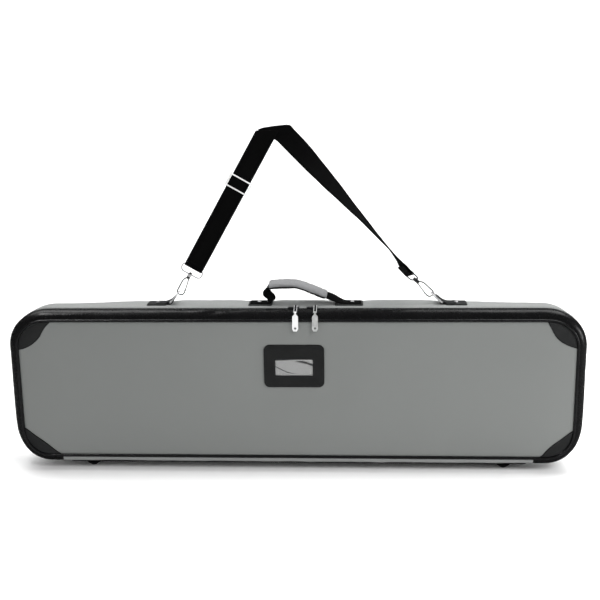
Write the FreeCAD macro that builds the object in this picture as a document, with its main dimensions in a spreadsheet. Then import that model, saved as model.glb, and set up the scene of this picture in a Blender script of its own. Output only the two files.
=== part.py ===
import FreeCAD, Part
import itertools
import math
import os
from collections import namedtuple
from types import SimpleNamespace

import Sketcher

# Padded snowboard bag lying on its long edge: grey front lid with a black
# rounded shoulder, a zip round three sides, a fabric hinge along the bottom,
# a grab handle and a shoulder strap on two snap hooks.
# +X along the length, -Y out of the front panel, +Z up, feet on z = 0.
# Left is -X, right is +X.

# Driving dimensions in mm and degrees; each becomes an alias in the sheet.
SIZES = dict(
    # bag envelope and layers
    bag_length=1450,
    top_level=423,
    bottom_level=22,
    corner_radius=93,
    front_y=-61,
    back_y=61,
    shoulder_radius=24.4,
    lid_edge_y=-36,
    body_edge_y=-24,
    zip_y=-30,
    fabric_thickness=2,
    foam_thickness=10,
    side_foam_thickness=8,
    board_thickness=1.6,
    lining_thickness=0.8,
    layer_gap=0.2,
    back_edge_radius=14,
    piping_radius=3.5,
    piping_seat=3.3,
    panel_inset=28.2,
    shoulder_inner_inset=34,
    corner_patch_thickness=1.2,
    # zip tape and coil
    zip_end_x=602,
    tape_inset=2.2,
    tape_thickness=1.0,
    coil_thickness=2.6,
    coil_half_width=2.8,
    coil_half_gap=0.6,
    # base and feet
    base_half_length=600,
    base_front_y=-36,
    base_back_y=60,
    foot_height=8,
    foot_top_radius=17.5,
    foot_low_radius=7.5,
    foot_x=533,
    foot_front_y=-17,
    foot_back_y=41,
    # rivets
    rivet_hole_radius=2.3,
    rivet_post_radius=2.0,
    rivet_washer_radius=6.0,
    rivet_head_radius=5.0,
    # hardware on the top: handle and strap anchors
    strap_width=50,
    webbing_thickness=2,
    hardware_y=20,
    patch_half_width=25,
    base_patch_thickness=3,
    anchor_thickness=3.4,
    handle_base_left_x0=-117,
    handle_base_left_x1=-57,
    handle_base_right_x0=102,
    handle_base_right_x1=173,
    handle_rivet_left_x=-90,
    handle_rivet_right_x=146,
    handle_half_width=19,
    grip_thickness=12,
    grip_half_width=24,
    anchor_rivet_left_x=-351,
    anchor_rivet_right_x=408,
    anchor_left_x0=-377,
    anchor_right_x1=434,
    # rings
    ring_bar_left_x=-318,
    ring_bar_right_x=371.5,
    ring_bar_z=428.6,
    ring_reach=34,
    ring_half_width=19,
    ring_wire_radius=2.0,
    ring_tilt_left=50,
    ring_tilt_right=41,
    # snap hooks and swivel eyes
    hook_wire_radius=1.6,
    gate_wire_radius=1.3,
    hook_bend_radius=9,
    hook_neck_height=50,
    eye_bar_height=79,
    eye_half_width=28,
    chain_angle_left=29.7,
    chain_angle_right=-47,
    # tag on the front panel
    tag_width=151,
    tag_height=110,
    tag_centre_x=0.5,
    tag_centre_z=282,
    tag_thickness=4.5,
    window_width=93,
    window_height=43,
    window_centre_z=280.5,
    # zip sliders and pulls
    slider_half_length=14,
    slider_left_x=0,
    slider_right_x=46,
    crown_left_offset=5,
    crown_right_offset=8,
    crown_hole_z=429.4,
    pull_link_length=34.8,
    pull_tab_length=47,
    pull_tab_width=14,
    pull_tab_thickness=2.2,
    pull_link_rest_angle=-74.3,
    pull_tab_rest_angle=-7.4,
    # strap adjuster, measured along the left strap
    adjuster_distance=323,
    adjuster_half_length=18,
)

# Corner patches of the lid: name, x side, z side, x where the patch starts on
# the top or bottom edge, z where it ends on the side edge, then the (x, z)
# points of its inner edge, from the side edge back to the start.
CORNER_PATCHES = [
    ("top_left", -1, 1, -613, 324,
     [(-684, 327), (-663, 337), (-643, 354), (-635, 367), (-626, 381)]),
    ("top_right", 1, 1, 624, 329,
     [(690, 331), (670, 339), (654, 349), (642, 362), (633, 378)]),
    ("bottom_left", -1, -1, -607, 118,
     [(-688, 113), (-668, 98), (-648, 84), (-631, 70), (-617, 58)]),
    ("bottom_right", 1, -1, 618, 117,
     [(688, 112), (667, 96), (646, 80), (632, 66), (624, 55)]),
]

# Centre lines of the handle parts, (x, z).
HANDLE_ROOT_LEFT = [(-112, 427.3), (-90, 427.3), (-66, 427.4), (-58.5, 428.6),
                    (-56.5, 432.5), (-58, 438), (-62.5, 443), (-67, 446.5)]
HANDLE_ROOT_RIGHT = [(102.5, 436.6), (112, 432.2), (122, 428.8), (130, 427.6),
                     (146, 427.3), (168, 427.3)]
HANDLE_WEBBING_LEFT = [(-69, 448.5), (-73, 453), (-73.5, 459), (-71, 465), (-66.5, 469.5)]
HANDLE_WEBBING_RIGHT = [(83, 445.2), (92, 441.2), (101, 437.4)]
HANDLE_GRIP = [(-65.5, 471.5), (-50, 473.5), (-20, 474), (5, 472.5),
               (25, 466.5), (45, 459), (65, 451.6), (82, 445.7)]

# Outline of the fold at the top of the strap, (x, z).
STRAP_FOLD = [(-84, 863), (-72, 867), (-13, 873.5), (-4, 871), (2.4, 864.4), (-35.2, 831.4)]

# Right leg of the strap, from the fold down: x, z, twist in degrees.
# The last station is worked out from the hook eye.
RIGHT_LEG_STATIONS = [(-16, 847, 0), (59, 765, 37), (98, 722, 52),
                      (133, 683, 66), (176, 633, 80), (219, 581, 92)]
EYE_TWIST = 113.0           # turn of the right eye about the strap's own axis
RIGHT_END_LENGTH = 48       # webbing above the bar of the right eye

doc = FreeCAD.newDocument("board_bag")
sheet = doc.addObject("Spreadsheet::Sheet", "Sizes")
pieces = []
numbers = itertools.count(1)


# ---- values bound to the sheet ---------------------------------------------
class Quantity:
    """A number together with the sheet expression that gives it."""

    def __init__(self, value, text):
        self.value = float(value)
        self.text = text

    def __add__(self, other):
        other = quantity(other)
        return Quantity(self.value + other.value, "(%s + %s)" % (self.text, other.text))

    def __sub__(self, other):
        other = quantity(other)
        return Quantity(self.value - other.value, "(%s - %s)" % (self.text, other.text))

    def __mul__(self, other):
        other = quantity(other)
        return Quantity(self.value * other.value, "(%s * %s)" % (self.text, other.text))

    def __truediv__(self, other):
        other = quantity(other)
        return Quantity(self.value / other.value, "(%s / %s)" % (self.text, other.text))

    def __neg__(self):
        return Quantity(-self.value, "(0 - %s)" % self.text)


def quantity(x):
    if isinstance(x, Quantity):
        return x
    return Quantity(x, "%.6g" % x if x >= 0 else "(0 - %.6g)" % -x)


def number(x):
    return quantity(x).value


def sin_cos(angle):
    """Sine and cosine of a quantity in degrees, as quantities."""
    radians = math.radians(angle.value)
    return (Quantity(math.sin(radians), "sin(%s * 1 deg)" % angle.text),
            Quantity(math.cos(radians), "cos(%s * 1 deg)" % angle.text))


def fill_sheet():
    """Writes SIZES to the sheet and gives them back as quantities."""
    bound = SimpleNamespace()
    for row, (alias, value) in enumerate(SIZES.items(), 1):
        sheet.set("A%d" % row, alias)
        sheet.set("B%d" % row, "%.6g" % value)
        sheet.setAlias("B%d" % row, alias)
        setattr(bound, alias, Quantity(value, "Sizes." + alias))
    doc.recompute()
    return bound


size = fill_sheet()
LEFT_X, RIGHT_X = -size.bag_length / 2, size.bag_length / 2
TOP, BOTTOM = size.top_level, size.bottom_level
FRONT, BACK = size.front_y, size.back_y
LID_EDGE, BODY_EDGE, ZIP = size.lid_edge_y, size.body_edge_y, size.zip_y
HARDWARE = size.hardware_y
HOLE = size.rivet_hole_radius
STRAP_HALF = size.strap_width / 2
FEET = [(x, y) for x in (-size.foot_x, size.foot_x)
        for y in (size.foot_front_y, size.foot_back_y)]
HANDLE_RIVETS = [size.handle_rivet_left_x, size.handle_rivet_right_x]
ANCHOR_RIVETS = [size.anchor_rivet_left_x, size.anchor_rivet_right_x]
TOP_RIVETS = [(x, HARDWARE) for x in HANDLE_RIVETS + ANCHOR_RIVETS]

# What differs between the two ends of the strap; inward is the x direction
# towards the middle of the bag.
End = namedtuple("End", "name inward outer_x rivet_x bar_x tilt chain_angle")
LEFT = End("left", 1, size.anchor_left_x0, size.anchor_rivet_left_x,
           size.ring_bar_left_x, size.ring_tilt_left, size.chain_angle_left)
RIGHT = End("right", -1, size.anchor_right_x1, size.anchor_rivet_right_x,
            size.ring_bar_right_x, size.ring_tilt_right, size.chain_angle_right)


# ---- sketches --------------------------------------------------------------
# A loop is a function that draws one closed or open line into a sketch.
PLANES = {"x": "YZ_Plane", "y": "XZ_Plane", "z": "XY_Plane"}


def unique(name):
    return "%s%03d" % (name, next(numbers))


def new_sketch(body, name, axis, loops, offset=None, placement=None):
    """Sketch square to an axis, at an offset along its normal or at a placement."""
    sketch = body.newObject("Sketcher::SketchObject", unique(name))
    plane = next(f for f in body.Origin.OriginFeatures if f.Role == PLANES[axis])
    sketch.AttachmentSupport = [(plane, "")]
    sketch.MapMode = "FlatFace"
    if placement is not None:
        sketch.AttachmentOffset = placement
    else:
        offset = quantity(offset)
        sketch.AttachmentOffset = FreeCAD.Placement(
            FreeCAD.Vector(0, 0, offset.value), FreeCAD.Rotation())
        sketch.setExpression("AttachmentOffset.Base.z", offset.text)
    for loop in loops:
        loop(sketch)
    return sketch


def constrain(sketch, kind, targets, value):
    value = quantity(value)
    index = sketch.addConstraint(Sketcher.Constraint(kind, *targets, value.value))
    sketch.setExpression("Constraints[%d]" % index, value.text)


def pin(sketch, geometry, end, x, y):
    constrain(sketch, "DistanceX", (-1, 1, geometry, end), x)
    constrain(sketch, "DistanceY", (-1, 1, geometry, end), y)


def pin_corner(sketch, geometry, end, point, previous):
    """Fixes a point of a wire; previous is the entry of the point before it."""
    if len(previous) < 3:
        pin(sketch, geometry, end, point[0], point[1])
        return
    # the arc's end lies on its own radius, so one direction is enough
    across = abs(number(point[0]) - number(previous[2]))
    along = abs(number(point[1]) - number(previous[3]))
    if across > along:
        constrain(sketch, "DistanceY", (-1, 1, geometry, end), point[1])
    else:
        constrain(sketch, "DistanceX", (-1, 1, geometry, end), point[0])


def flat_vector(x, y):
    return FreeCAD.Vector(number(x), number(y), 0)


def add_segment(sketch, start, finish):
    """Draws the line or arc to the next point; returns its index, start and end."""
    a, b = flat_vector(*start[:2]), flat_vector(*finish[:2])
    if len(start) == 2:
        return sketch.addGeometry(Part.LineSegment(a, b), False), 1, 2
    centre, turn = flat_vector(*start[2:4]), start[4]
    angles = [math.atan2(p.y - centre.y, p.x - centre.x) for p in (a, b)]
    if turn < 0:
        angles.reverse()
    if angles[1] < angles[0]:
        angles[1] += 2 * math.pi
    radius = math.hypot(a.x - centre.x, a.y - centre.y)
    circle_line = Part.Circle(centre, FreeCAD.Vector(0, 0, 1), radius)
    index = sketch.addGeometry(Part.ArcOfCircle(circle_line, *angles), False)
    pin(sketch, index, 3, start[2], start[3])
    return (index, 1, 2) if turn > 0 else (index, 2, 1)


def wire(points, closed=True):
    """Loop through points (x, y). A point (x, y, centre x, centre y, turn) starts
    an arc to the next one; turn is 1 anticlockwise, -1 clockwise."""
    def draw(sketch):
        count = len(points) if closed else len(points) - 1
        segments = [add_segment(sketch, points[k], points[(k + 1) % len(points)])
                    for k in range(count)]
        for k in range(count if closed else count - 1):
            index, _, end = segments[k]
            following, start, _ = segments[(k + 1) % count]
            sketch.addConstraint(
                Sketcher.Constraint("Coincident", index, end, following, start))
        for k, (index, start, _) in enumerate(segments):
            previous = points[k - 1] if closed or k > 0 else ()
            pin_corner(sketch, index, start, points[k], previous)
        if not closed:
            index, _, end = segments[-1]
            pin_corner(sketch, index, end, points[-1], points[-2])
    return draw


def rectangle(x0, x1, y0, y1):
    return wire([(x0, y0), (x1, y0), (x1, y1), (x0, y1)])


def rounded(x0, x1, y0, y1, radius):
    """Rectangle with rounded corners."""
    x0, x1, y0, y1, r = [quantity(value) for value in (x0, x1, y0, y1, radius)]
    return wire([(x0 + r, y0), (x1 - r, y0, x1 - r, y0 + r, 1),
                 (x1, y0 + r), (x1, y1 - r, x1 - r, y1 - r, 1),
                 (x1 - r, y1), (x0 + r, y1, x0 + r, y1 - r, 1),
                 (x0, y1 - r), (x0, y0 + r, x0 + r, y0 + r, 1)])


def centred(x, y, width, height, radius):
    """Rounded rectangle about its centre."""
    return rounded(x - width / 2, x + width / 2, y - height / 2, y + height / 2, radius)


def circle(x, y, radius):
    def draw(sketch):
        line = Part.Circle(flat_vector(x, y), FreeCAD.Vector(0, 0, 1), number(radius))
        index = sketch.addGeometry(line, False)
        constrain(sketch, "Radius", (index,), radius)
        pin(sketch, index, 3, x, y)
    return draw


def circles(centres, radius):
    return [circle(x, y, radius) for x, y in centres]


def outline(inset):
    """The bag's front outline, moved inwards."""
    inset = quantity(inset)
    return rounded(LEFT_X + inset, RIGHT_X - inset, BOTTOM + inset, TOP - inset,
                   size.corner_radius - inset)


def hinge_opening():
    """The bottom stretch between the zip ends."""
    return rectangle(-size.zip_end_x, size.zip_end_x, BOTTOM - 5, BOTTOM + 40)


def ribbon(points, thickness):
    """Closed outline of a strip along a line of (x, z) points."""
    left, right = [], []
    for k, (x, z) in enumerate(points):
        before = points[max(k - 1, 0)]
        after = points[min(k + 1, len(points) - 1)]
        dx, dz = after[0] - before[0], after[1] - before[1]
        length = math.hypot(dx, dz)
        shift_x = -dz / length * thickness / 2
        shift_z = dx / length * thickness / 2
        left.append((x + shift_x, z + shift_z))
        right.append((x - shift_x, z - shift_z))
    return wire(left + right[::-1])


# ---- features --------------------------------------------------------------
def new_piece(name):
    body = doc.addObject("PartDesign::Body", name)
    body.Label = name
    body.AllowCompound = True
    pieces.append(body)
    return body


def bind(feature, name, value):
    value = quantity(value)
    setattr(feature, name, value.value)
    feature.setExpression(name, value.text)


def extrude(body, kind, sketch_name, axis, offset, length, loops):
    profile = new_sketch(body, sketch_name, axis, loops, offset)
    feature = body.newObject("PartDesign::" + kind, unique(kind.lower()))
    feature.Profile = profile
    bind(feature, "Length", length)
    return feature


def pad(body, axis, start, end, *loops, taper=0.0):
    """Material from start to end along an axis. Loops square to x are in (y, z),
    to y in (x, z), to z in (x, y)."""
    start, end = quantity(start), quantity(end)
    # the X-Z plane faces -Y, so its sketch lies at the far end
    offset = -end if axis == "y" else start
    feature = extrude(body, "Pad", "outline", axis, offset, end - start, loops)
    feature.TaperAngle = taper


def cut(body, axis, start, end, *loops):
    """Removes material from start to end along an axis, with loops as in pad."""
    start, end = quantity(start), quantity(end)
    doc.recompute()
    before = body.Shape.Volume
    # a pocket runs against its sketch's normal
    offset = -start if axis == "y" else end
    extrude(body, "Pocket", "cutline", axis, offset, end - start, loops)
    doc.recompute()
    if body.Shape.Volume > before - 1e-6:
        raise RuntimeError("pocket cut nothing in " + body.Label)


def fillet(body, radius, **limits):
    """Rounds the edges whose bounding box has the given limits, such as YMin."""
    doc.recompute()
    base = body.Tip
    names = ["Edge%d" % i for i, edge in enumerate(base.Shape.Edges, 1)
             if all(abs(getattr(edge.BoundBox, limit) - number(level)) < 1e-3
                    for limit, level in limits.items())]
    if not names:
        raise RuntimeError("no edge to round in " + body.Label)
    feature = body.newObject("PartDesign::Fillet", unique("round"))
    feature.Base = (base, names)
    bind(feature, "Radius", radius)
    doc.recompute()
    if feature.Shape.isNull() or not feature.Shape.isValid():
        raise RuntimeError("rounding failed in " + body.Label)


def frame(x_axis, y_axis, z_axis, origin=(0, 0, 0)):
    """Placement with the given axes; z_axis leads, then x_axis."""
    axes = [FreeCAD.Vector(*axis) for axis in (x_axis, y_axis, z_axis)]
    return FreeCAD.Placement(FreeCAD.Vector(*origin), FreeCAD.Rotation(*axes, "ZXY"))


def wire_frame(x, z, dx, dz):
    """Frame across a wire that runs along (dx, dz) in the X-Z plane."""
    length = math.hypot(dx, dz)
    return frame((0, 1, 0), (0, 0, 0), (dx / length, 0, dz / length), (x, 0, z))


def pipe(body, axis, offset, path, placement, section, corners="Transformed"):
    """Section swept along a flat path; the section stands at the path's start."""
    spine = new_sketch(body, "path", axis, [path], offset)
    profile = new_sketch(body, "section", "z", [section], placement=placement)
    doc.recompute()
    feature = body.newObject("PartDesign::AdditivePipe", unique("bend"))
    feature.Profile = profile
    feature.Spine = (spine, [])
    feature.Mode = "Standard"
    feature.Transition = corners
    doc.recompute()


def place_rotated(body, x, y, z, rotation):
    """Binds the position only; the rotation is fixed."""
    place_at = [quantity(value) for value in (x, y, z)]
    base = FreeCAD.Vector(*[value.value for value in place_at])
    body.Placement = FreeCAD.Placement(base, rotation)
    for letter, value in zip("xyz", place_at):
        body.setExpression("Placement.Base." + letter, value.text)


def place(body, x, y, z, axis=(0, 1, 0), angle=0.0):
    angle = quantity(angle)
    axis = FreeCAD.Vector(*axis)
    if angle.value < 0:
        # the bound angle has to be positive, so the axis is turned round
        axis, angle = axis * -1, -angle
    place_rotated(body, x, y, z, FreeCAD.Rotation(axis, angle.value))
    if angle.value:
        body.setExpression("Placement.Rotation.Angle", angle.text)


# ---- body half -------------------------------------------------------------
def body_shell():
    body = new_piece("body_shell")
    inner_back = BACK - size.fabric_thickness
    pad(body, "y", BODY_EDGE, BACK, outline(0))
    cut(body, "y", BODY_EDGE, inner_back, outline(size.fabric_thickness))
    fillet(body, size.back_edge_radius - size.fabric_thickness,
           YMin=inner_back, YMax=inner_back)
    fillet(body, size.back_edge_radius, YMin=BACK, YMax=BACK)
    cut(body, "z", TOP - 4, TOP + 1, *circles(TOP_RIVETS, HOLE))


def body_layers():
    """Board, foam and lining, from the back wall of the shell inwards."""
    gap = size.layer_gap
    board_back = BACK - size.fabric_thickness - gap
    board_front = board_back - size.board_thickness
    foam_back = board_front - gap
    foam_front = foam_back - size.foam_thickness

    board = new_piece("back_stiffener_board")
    pad(board, "y", board_front, board_back, outline(18))

    back_foam = new_piece("back_foam_pad")
    pad(back_foam, "y", foam_front, foam_back, outline(14))

    foam = new_piece("gusset_foam")
    outer = size.fabric_thickness + gap
    inner = outer + size.side_foam_thickness
    straight_x = RIGHT_X - size.corner_radius
    low, high = BOTTOM + size.corner_radius, TOP - size.corner_radius
    pad(foam, "y", BODY_EDGE + 10, BACK - size.back_edge_radius - 3,
        rectangle(-straight_x, straight_x, TOP - inner, TOP - outer),
        rectangle(-straight_x, straight_x, BOTTOM + outer, BOTTOM + inner),
        rectangle(LEFT_X + outer, LEFT_X + inner, low, high),
        rectangle(RIGHT_X - inner, RIGHT_X - outer, low, high))
    cut(foam, "z", TOP - 4.8, TOP - 1, *circles(TOP_RIVETS, 7))

    lining = new_piece("body_lining")
    lining_inset = inner + 0.4
    lining_back = foam_front - gap
    pad(lining, "y", BODY_EDGE + 10, lining_back, outline(lining_inset))
    cut(lining, "y", BODY_EDGE + 10, lining_back - size.lining_thickness,
        outline(lining_inset + size.lining_thickness))


def base_pad():
    body = new_piece("base_pad")
    low = size.foot_height
    pad(body, "z", low, BOTTOM - 0.1,
        rounded(-size.base_half_length, size.base_half_length,
                size.base_front_y, size.base_back_y, 20))
    fillet(body, 4, ZMin=low, ZMax=low)
    cut(body, "z", low, BOTTOM, *circles(FEET, HOLE))
    # recesses for the upper washers of the foot rivets
    cut(body, "z", 19.4, BOTTOM, *circles(FEET, 6.6))


def base_feet():
    """Four cones, wider at the top, with a recess below for the rivet head."""
    body = new_piece("base_feet")
    top = size.foot_height - 0.1
    flare = size.foot_top_radius - size.foot_low_radius
    taper = math.degrees(math.atan(flare.value / top.value))
    pad(body, "z", 0, top, *circles(FEET, size.foot_low_radius), taper=taper)
    cut(body, "z", 0, size.foot_height, *circles(FEET, HOLE))
    cut(body, "z", 0, 3.0, *circles(FEET, 4.6))


def foot_rivets():
    body = new_piece("foot_rivets")
    pad(body, "z", 1.2, 2.9, *circles(FEET, 4.2))
    pad(body, "z", 2.8, 19.8, *circles(FEET, size.rivet_post_radius))
    pad(body, "z", 19.6, 21.4, *circles(FEET, size.rivet_washer_radius))


# ---- zip -------------------------------------------------------------------
def seam_ring(name, outer_inset, inner_inset, y0, y1):
    """Ring along the bag's outline that is open at the bottom, between the zip ends."""
    body = new_piece(name)
    pad(body, "y", y0, y1, outline(outer_inset))
    cut(body, "y", y0, y1, outline(inner_inset))
    cut(body, "y", y0, y1, hinge_opening())


def zip_tapes_and_coils():
    tape = size.tape_inset, size.tape_inset + size.tape_thickness
    coil = size.tape_inset - 0.1 - size.coil_thickness, size.tape_inset - 0.1
    body_side = ZIP + size.coil_half_gap
    lid_side = ZIP - size.coil_half_gap
    seam_ring("body_zip_tape", *tape, body_side, ZIP + 15)
    seam_ring("body_zip_coil", *coil, body_side, body_side + size.coil_half_width)
    seam_ring("lid_zip_tape", *tape, LID_EDGE - 7, lid_side)
    seam_ring("lid_zip_coil", *coil, lid_side - size.coil_half_width, lid_side)


def slider(name, x, crown_x):
    """Zip slider on the top seam; crown_x is its crown's place along it."""
    body = new_piece(name)
    length, width = size.slider_half_length, 5.7
    plate = rounded(-length, length, -width, width, 3)
    plate_top = TOP + 3.4
    pad(body, "z", TOP + 0.9, plate_top, plate)
    fillet(body, 0.9, ZMin=plate_top, ZMax=plate_top)
    pad(body, "z", TOP - 6.0, TOP - 3.6, plate)
    # middle post and front flange between the plates
    pad(body, "z", TOP - 3.8, TOP + 1.2, rectangle(-4, 4, -0.45, 0.45))
    pad(body, "z", TOP - 1.7, TOP + 1.2, rectangle(-length + 3, length - 3, -width, -4.5))
    pad(body, "x", crown_x - 1.5, crown_x + 1.5,
        wire([(-5.2, TOP + 2.8), (5.2, TOP + 2.8), (4.0, TOP + 7.6),
              (2.2, TOP + 9.2), (-2.2, TOP + 9.2), (-4.0, TOP + 7.6)]))
    cut(body, "x", crown_x - 3, crown_x + 3, circle(0, size.crown_hole_z, 1.5))
    place(body, x, ZIP, 0)


def pull_link(name, x):
    """Pin through the crown, two arms and a cross bar, along local -Z."""
    body = new_piece(name)
    length = size.pull_link_length
    inner, outer, pin_radius, arm = 2.4, 4.2, 1.2, 1.4
    pad(body, "x", -outer, outer, circle(0, 0, pin_radius))
    for x0, x1 in ((-outer, -inner), (inner, outer)):
        pad(body, "x", x0, x1, rounded(-arm, arm, -length - arm, arm, 1.35))
    pad(body, "x", -outer, outer, circle(0, -length, pin_radius))
    place(body, x, ZIP, size.crown_hole_z, (1, 0, 0), size.pull_link_rest_angle)


def pull_tab(name, x):
    """Eyelet round the link's cross bar, then a flat plate with a hole at its end."""
    body = new_piece(name)
    eyelet = 2.1
    length, half = size.pull_tab_length, size.pull_tab_width / 2
    thickness = size.pull_tab_thickness
    right_side = [(eyelet, -1.2), (eyelet, -4.5), (half - 2, -7.5), (half, -10),
                  (half + 0.6, -length + 6), (half - 3, -length)]
    left_side = [(-side_x, z) for side_x, z in right_side]
    pad(body, "x", -eyelet, eyelet, circle(0, 0, 2.6))
    pad(body, "y", -thickness / 2, thickness / 2, wire(left_side + right_side[::-1]))
    cut(body, "x", -3, 3, circle(0, 0, 1.5))
    cut(body, "y", -3, 3, circle(0, -length + 7.5, 2.8))
    sine, cosine = sin_cos(size.pull_link_rest_angle)
    place(body, x, ZIP + size.pull_link_length * sine,
          size.crown_hole_z - size.pull_link_length * cosine,
          (1, 0, 0), size.pull_tab_rest_angle)


def sliders_and_pulls():
    for side, x, crown_x in (("left", size.slider_left_x, size.crown_left_offset),
                             ("right", size.slider_right_x, size.crown_right_offset)):
        slider("slider_" + side, x, crown_x)
        pull_link("pull_link_" + side, x + crown_x)
        pull_tab("pull_tab_" + side, x + crown_x)


# ---- lid half --------------------------------------------------------------
def lid_shoulder():
    body = new_piece("lid_shoulder")
    pad(body, "y", FRONT, LID_EDGE, outline(0))
    fillet(body, size.shoulder_radius, YMin=FRONT, YMax=FRONT)
    cut(body, "y", FRONT - 1, LID_EDGE + 1, outline(size.shoulder_inner_inset))
    cut(body, "y", FRONT - 1, FRONT + size.piping_seat, outline(size.shoulder_radius - 3.6))
    cut(body, "y", FRONT - 1, LID_EDGE + 1, hinge_opening())
    # slot for the zip tape
    cut(body, "y", LID_EDGE - 8, LID_EDGE + 1, outline(size.tape_inset - 0.2),
        outline(size.tape_inset + size.tape_thickness + 0.2))


def hinge_strip():
    """Bottom of the shoulder between the zip ends, with a flap towards the body."""
    body = new_piece("hinge_strip")
    end_x = size.zip_end_x
    low, high = BOTTOM + 0.1, BOTTOM + size.shoulder_inner_inset
    pad(body, "x", -end_x + 0.2, end_x - 0.2, rectangle(FRONT, LID_EDGE, low, high))
    fillet(body, size.shoulder_radius, YMax=FRONT, ZMax=low)
    cut(body, "x", -end_x, end_x,
        rectangle(FRONT - 1, FRONT + size.piping_seat,
                  BOTTOM + size.shoulder_radius - 3.6, high + 0.9))
    pad(body, "x", -end_x + 2, end_x - 2,
        rectangle(LID_EDGE - 0.5, BODY_EDGE - 0.2, low, BOTTOM + 1.7))


def lid_layers():
    """Panel, foam and lining, from the front inwards."""
    panel_back = FRONT + size.fabric_thickness
    foam_front = panel_back + size.layer_gap
    foam_back = foam_front + size.foam_thickness
    lining_front = foam_back + size.layer_gap
    panel = new_piece("lid_panel")
    pad(panel, "y", FRONT, panel_back, outline(size.panel_inset))
    foam = new_piece("lid_foam_pad")
    pad(foam, "y", foam_front, foam_back, outline(size.shoulder_inner_inset + 0.3))
    lining = new_piece("lid_lining")
    pad(lining, "y", lining_front, lining_front + size.lining_thickness,
        outline(size.shoulder_inner_inset + 0.5))


def lid_piping():
    body = new_piece("lid_piping")
    inset = size.shoulder_radius
    x0, x1 = LEFT_X + inset, RIGHT_X - inset
    z0, z1 = BOTTOM + inset, TOP - inset
    r = size.corner_radius - inset
    piping_y = FRONT - 0.3
    # starts at the middle of the top edge, where the section stands
    path = wire([(0, z1), (x0 + r, z1, x0 + r, z1 - r, 1),
                 (x0, z1 - r), (x0, z0 + r, x0 + r, z0 + r, 1),
                 (x0 + r, z0), (x1 - r, z0, x1 - r, z0 + r, 1),
                 (x1, z0 + r), (x1, z1 - r, x1 - r, z1 - r, 1), (x1 - r, z1)])
    pipe(body, "y", -piping_y, path, frame((0, 1, 0), (0, 0, 1), (1, 0, 0)),
         circle(piping_y, z1, size.piping_radius))


def corner_patches():
    """Patches whose inner edge is a soft curve."""
    inset = size.panel_inset + 0.3
    radius = size.corner_radius - inset
    patch_back = FRONT - 0.05
    for name, side_x, side_z, start_x, end_z, inner_edge in CORNER_PATCHES:
        body = new_piece("corner_patch_" + name)
        edge_x = RIGHT_X - inset if side_x > 0 else LEFT_X + inset
        edge_z = TOP - inset if side_z > 0 else BOTTOM + inset
        centre_x = edge_x - radius * side_x
        centre_z = edge_z - radius * side_z
        turn = -side_x * side_z
        points = [(start_x, edge_z), (centre_x, edge_z, centre_x, centre_z, turn),
                  (edge_x, centre_z), (edge_x, end_z)]
        pad(body, "y", patch_back - size.corner_patch_thickness, patch_back,
            wire(points + inner_edge))


def tag():
    """Holder with a sunk window, a card in it and a clear sheet over the card."""
    holder_back = FRONT - 0.1
    holder_front = holder_back - size.tag_thickness
    floor = holder_front + 2.2

    def window_shape(margin):
        return centred(size.tag_centre_x, size.window_centre_z,
                       size.window_width - 2 * margin, size.window_height - 2 * margin,
                       5 - margin)

    holder = new_piece("tag_holder")
    pad(holder, "y", holder_front, holder_back,
        centred(size.tag_centre_x, size.tag_centre_z, size.tag_width, size.tag_height, 10))
    fillet(holder, 2, YMin=holder_front, YMax=holder_front)
    cut(holder, "y", holder_front, floor, window_shape(0))
    card = new_piece("tag_card")
    pad(card, "y", floor - 0.55, floor - 0.1, window_shape(1))
    window = new_piece("tag_window")
    pad(window, "y", holder_front + 0.8, holder_front + 1.4, window_shape(0.2))


# ---- grab handle -----------------------------------------------------------
def handle_base(name, x0, x1, rivet_x):
    body = new_piece(name)
    low = TOP + 0.1
    high = low + size.base_patch_thickness
    half = size.patch_half_width
    pad(body, "z", low, high, rounded(x0, x1, HARDWARE - half, HARDWARE + half, 6))
    fillet(body, 1.2, ZMin=high, ZMax=high)
    cut(body, "z", TOP, TOP + 5, circle(rivet_x, HARDWARE, HOLE))


def strip(body, points, thickness, half_width):
    pad(body, "y", HARDWARE - half_width, HARDWARE + half_width,
        ribbon(points, thickness.value))


def handle_root(name, points, rivet_x):
    body = new_piece(name)
    strip(body, points, size.webbing_thickness, size.handle_half_width)
    cut(body, "z", TOP, TOP + 8, circle(rivet_x, HARDWARE, HOLE))


def top_rivets(name, places, head_base):
    """Post, inner washer and outer head at each x; head_base is above the top."""
    body = new_piece(name)
    head_top = TOP + head_base + 1.8
    for x in places:
        pad(body, "z", TOP - 2.8, TOP + head_base + 0.1,
            circle(x, HARDWARE, size.rivet_post_radius))
        pad(body, "z", TOP - 4.0, TOP - 2.4, circle(x, HARDWARE, size.rivet_washer_radius))
        pad(body, "z", TOP + head_base, head_top, circle(x, HARDWARE, size.rivet_head_radius))
    fillet(body, 1.2, ZMin=head_top, ZMax=head_top)


def handle():
    left_x, right_x = HANDLE_RIVETS
    handle_base("handle_base_left", size.handle_base_left_x0, size.handle_base_left_x1, left_x)
    handle_base("handle_base_right", size.handle_base_right_x0, size.handle_base_right_x1,
                right_x)
    handle_root("handle_root_left", HANDLE_ROOT_LEFT, left_x)
    handle_root("handle_root_right", HANDLE_ROOT_RIGHT, right_x)
    top_rivets("handle_rivets", HANDLE_RIVETS, 5.5)

    webbing = new_piece("handle_webbing")
    for points in (HANDLE_WEBBING_LEFT, HANDLE_WEBBING_RIGHT):
        strip(webbing, points, size.webbing_thickness, size.handle_half_width)

    grip = new_piece("handle_grip")
    half = size.grip_half_width
    strip(grip, HANDLE_GRIP, size.grip_thickness, half)
    for y in (HARDWARE - half, HARDWARE + half):
        fillet(grip, 3.0, YMin=y, YMax=y)


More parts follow.
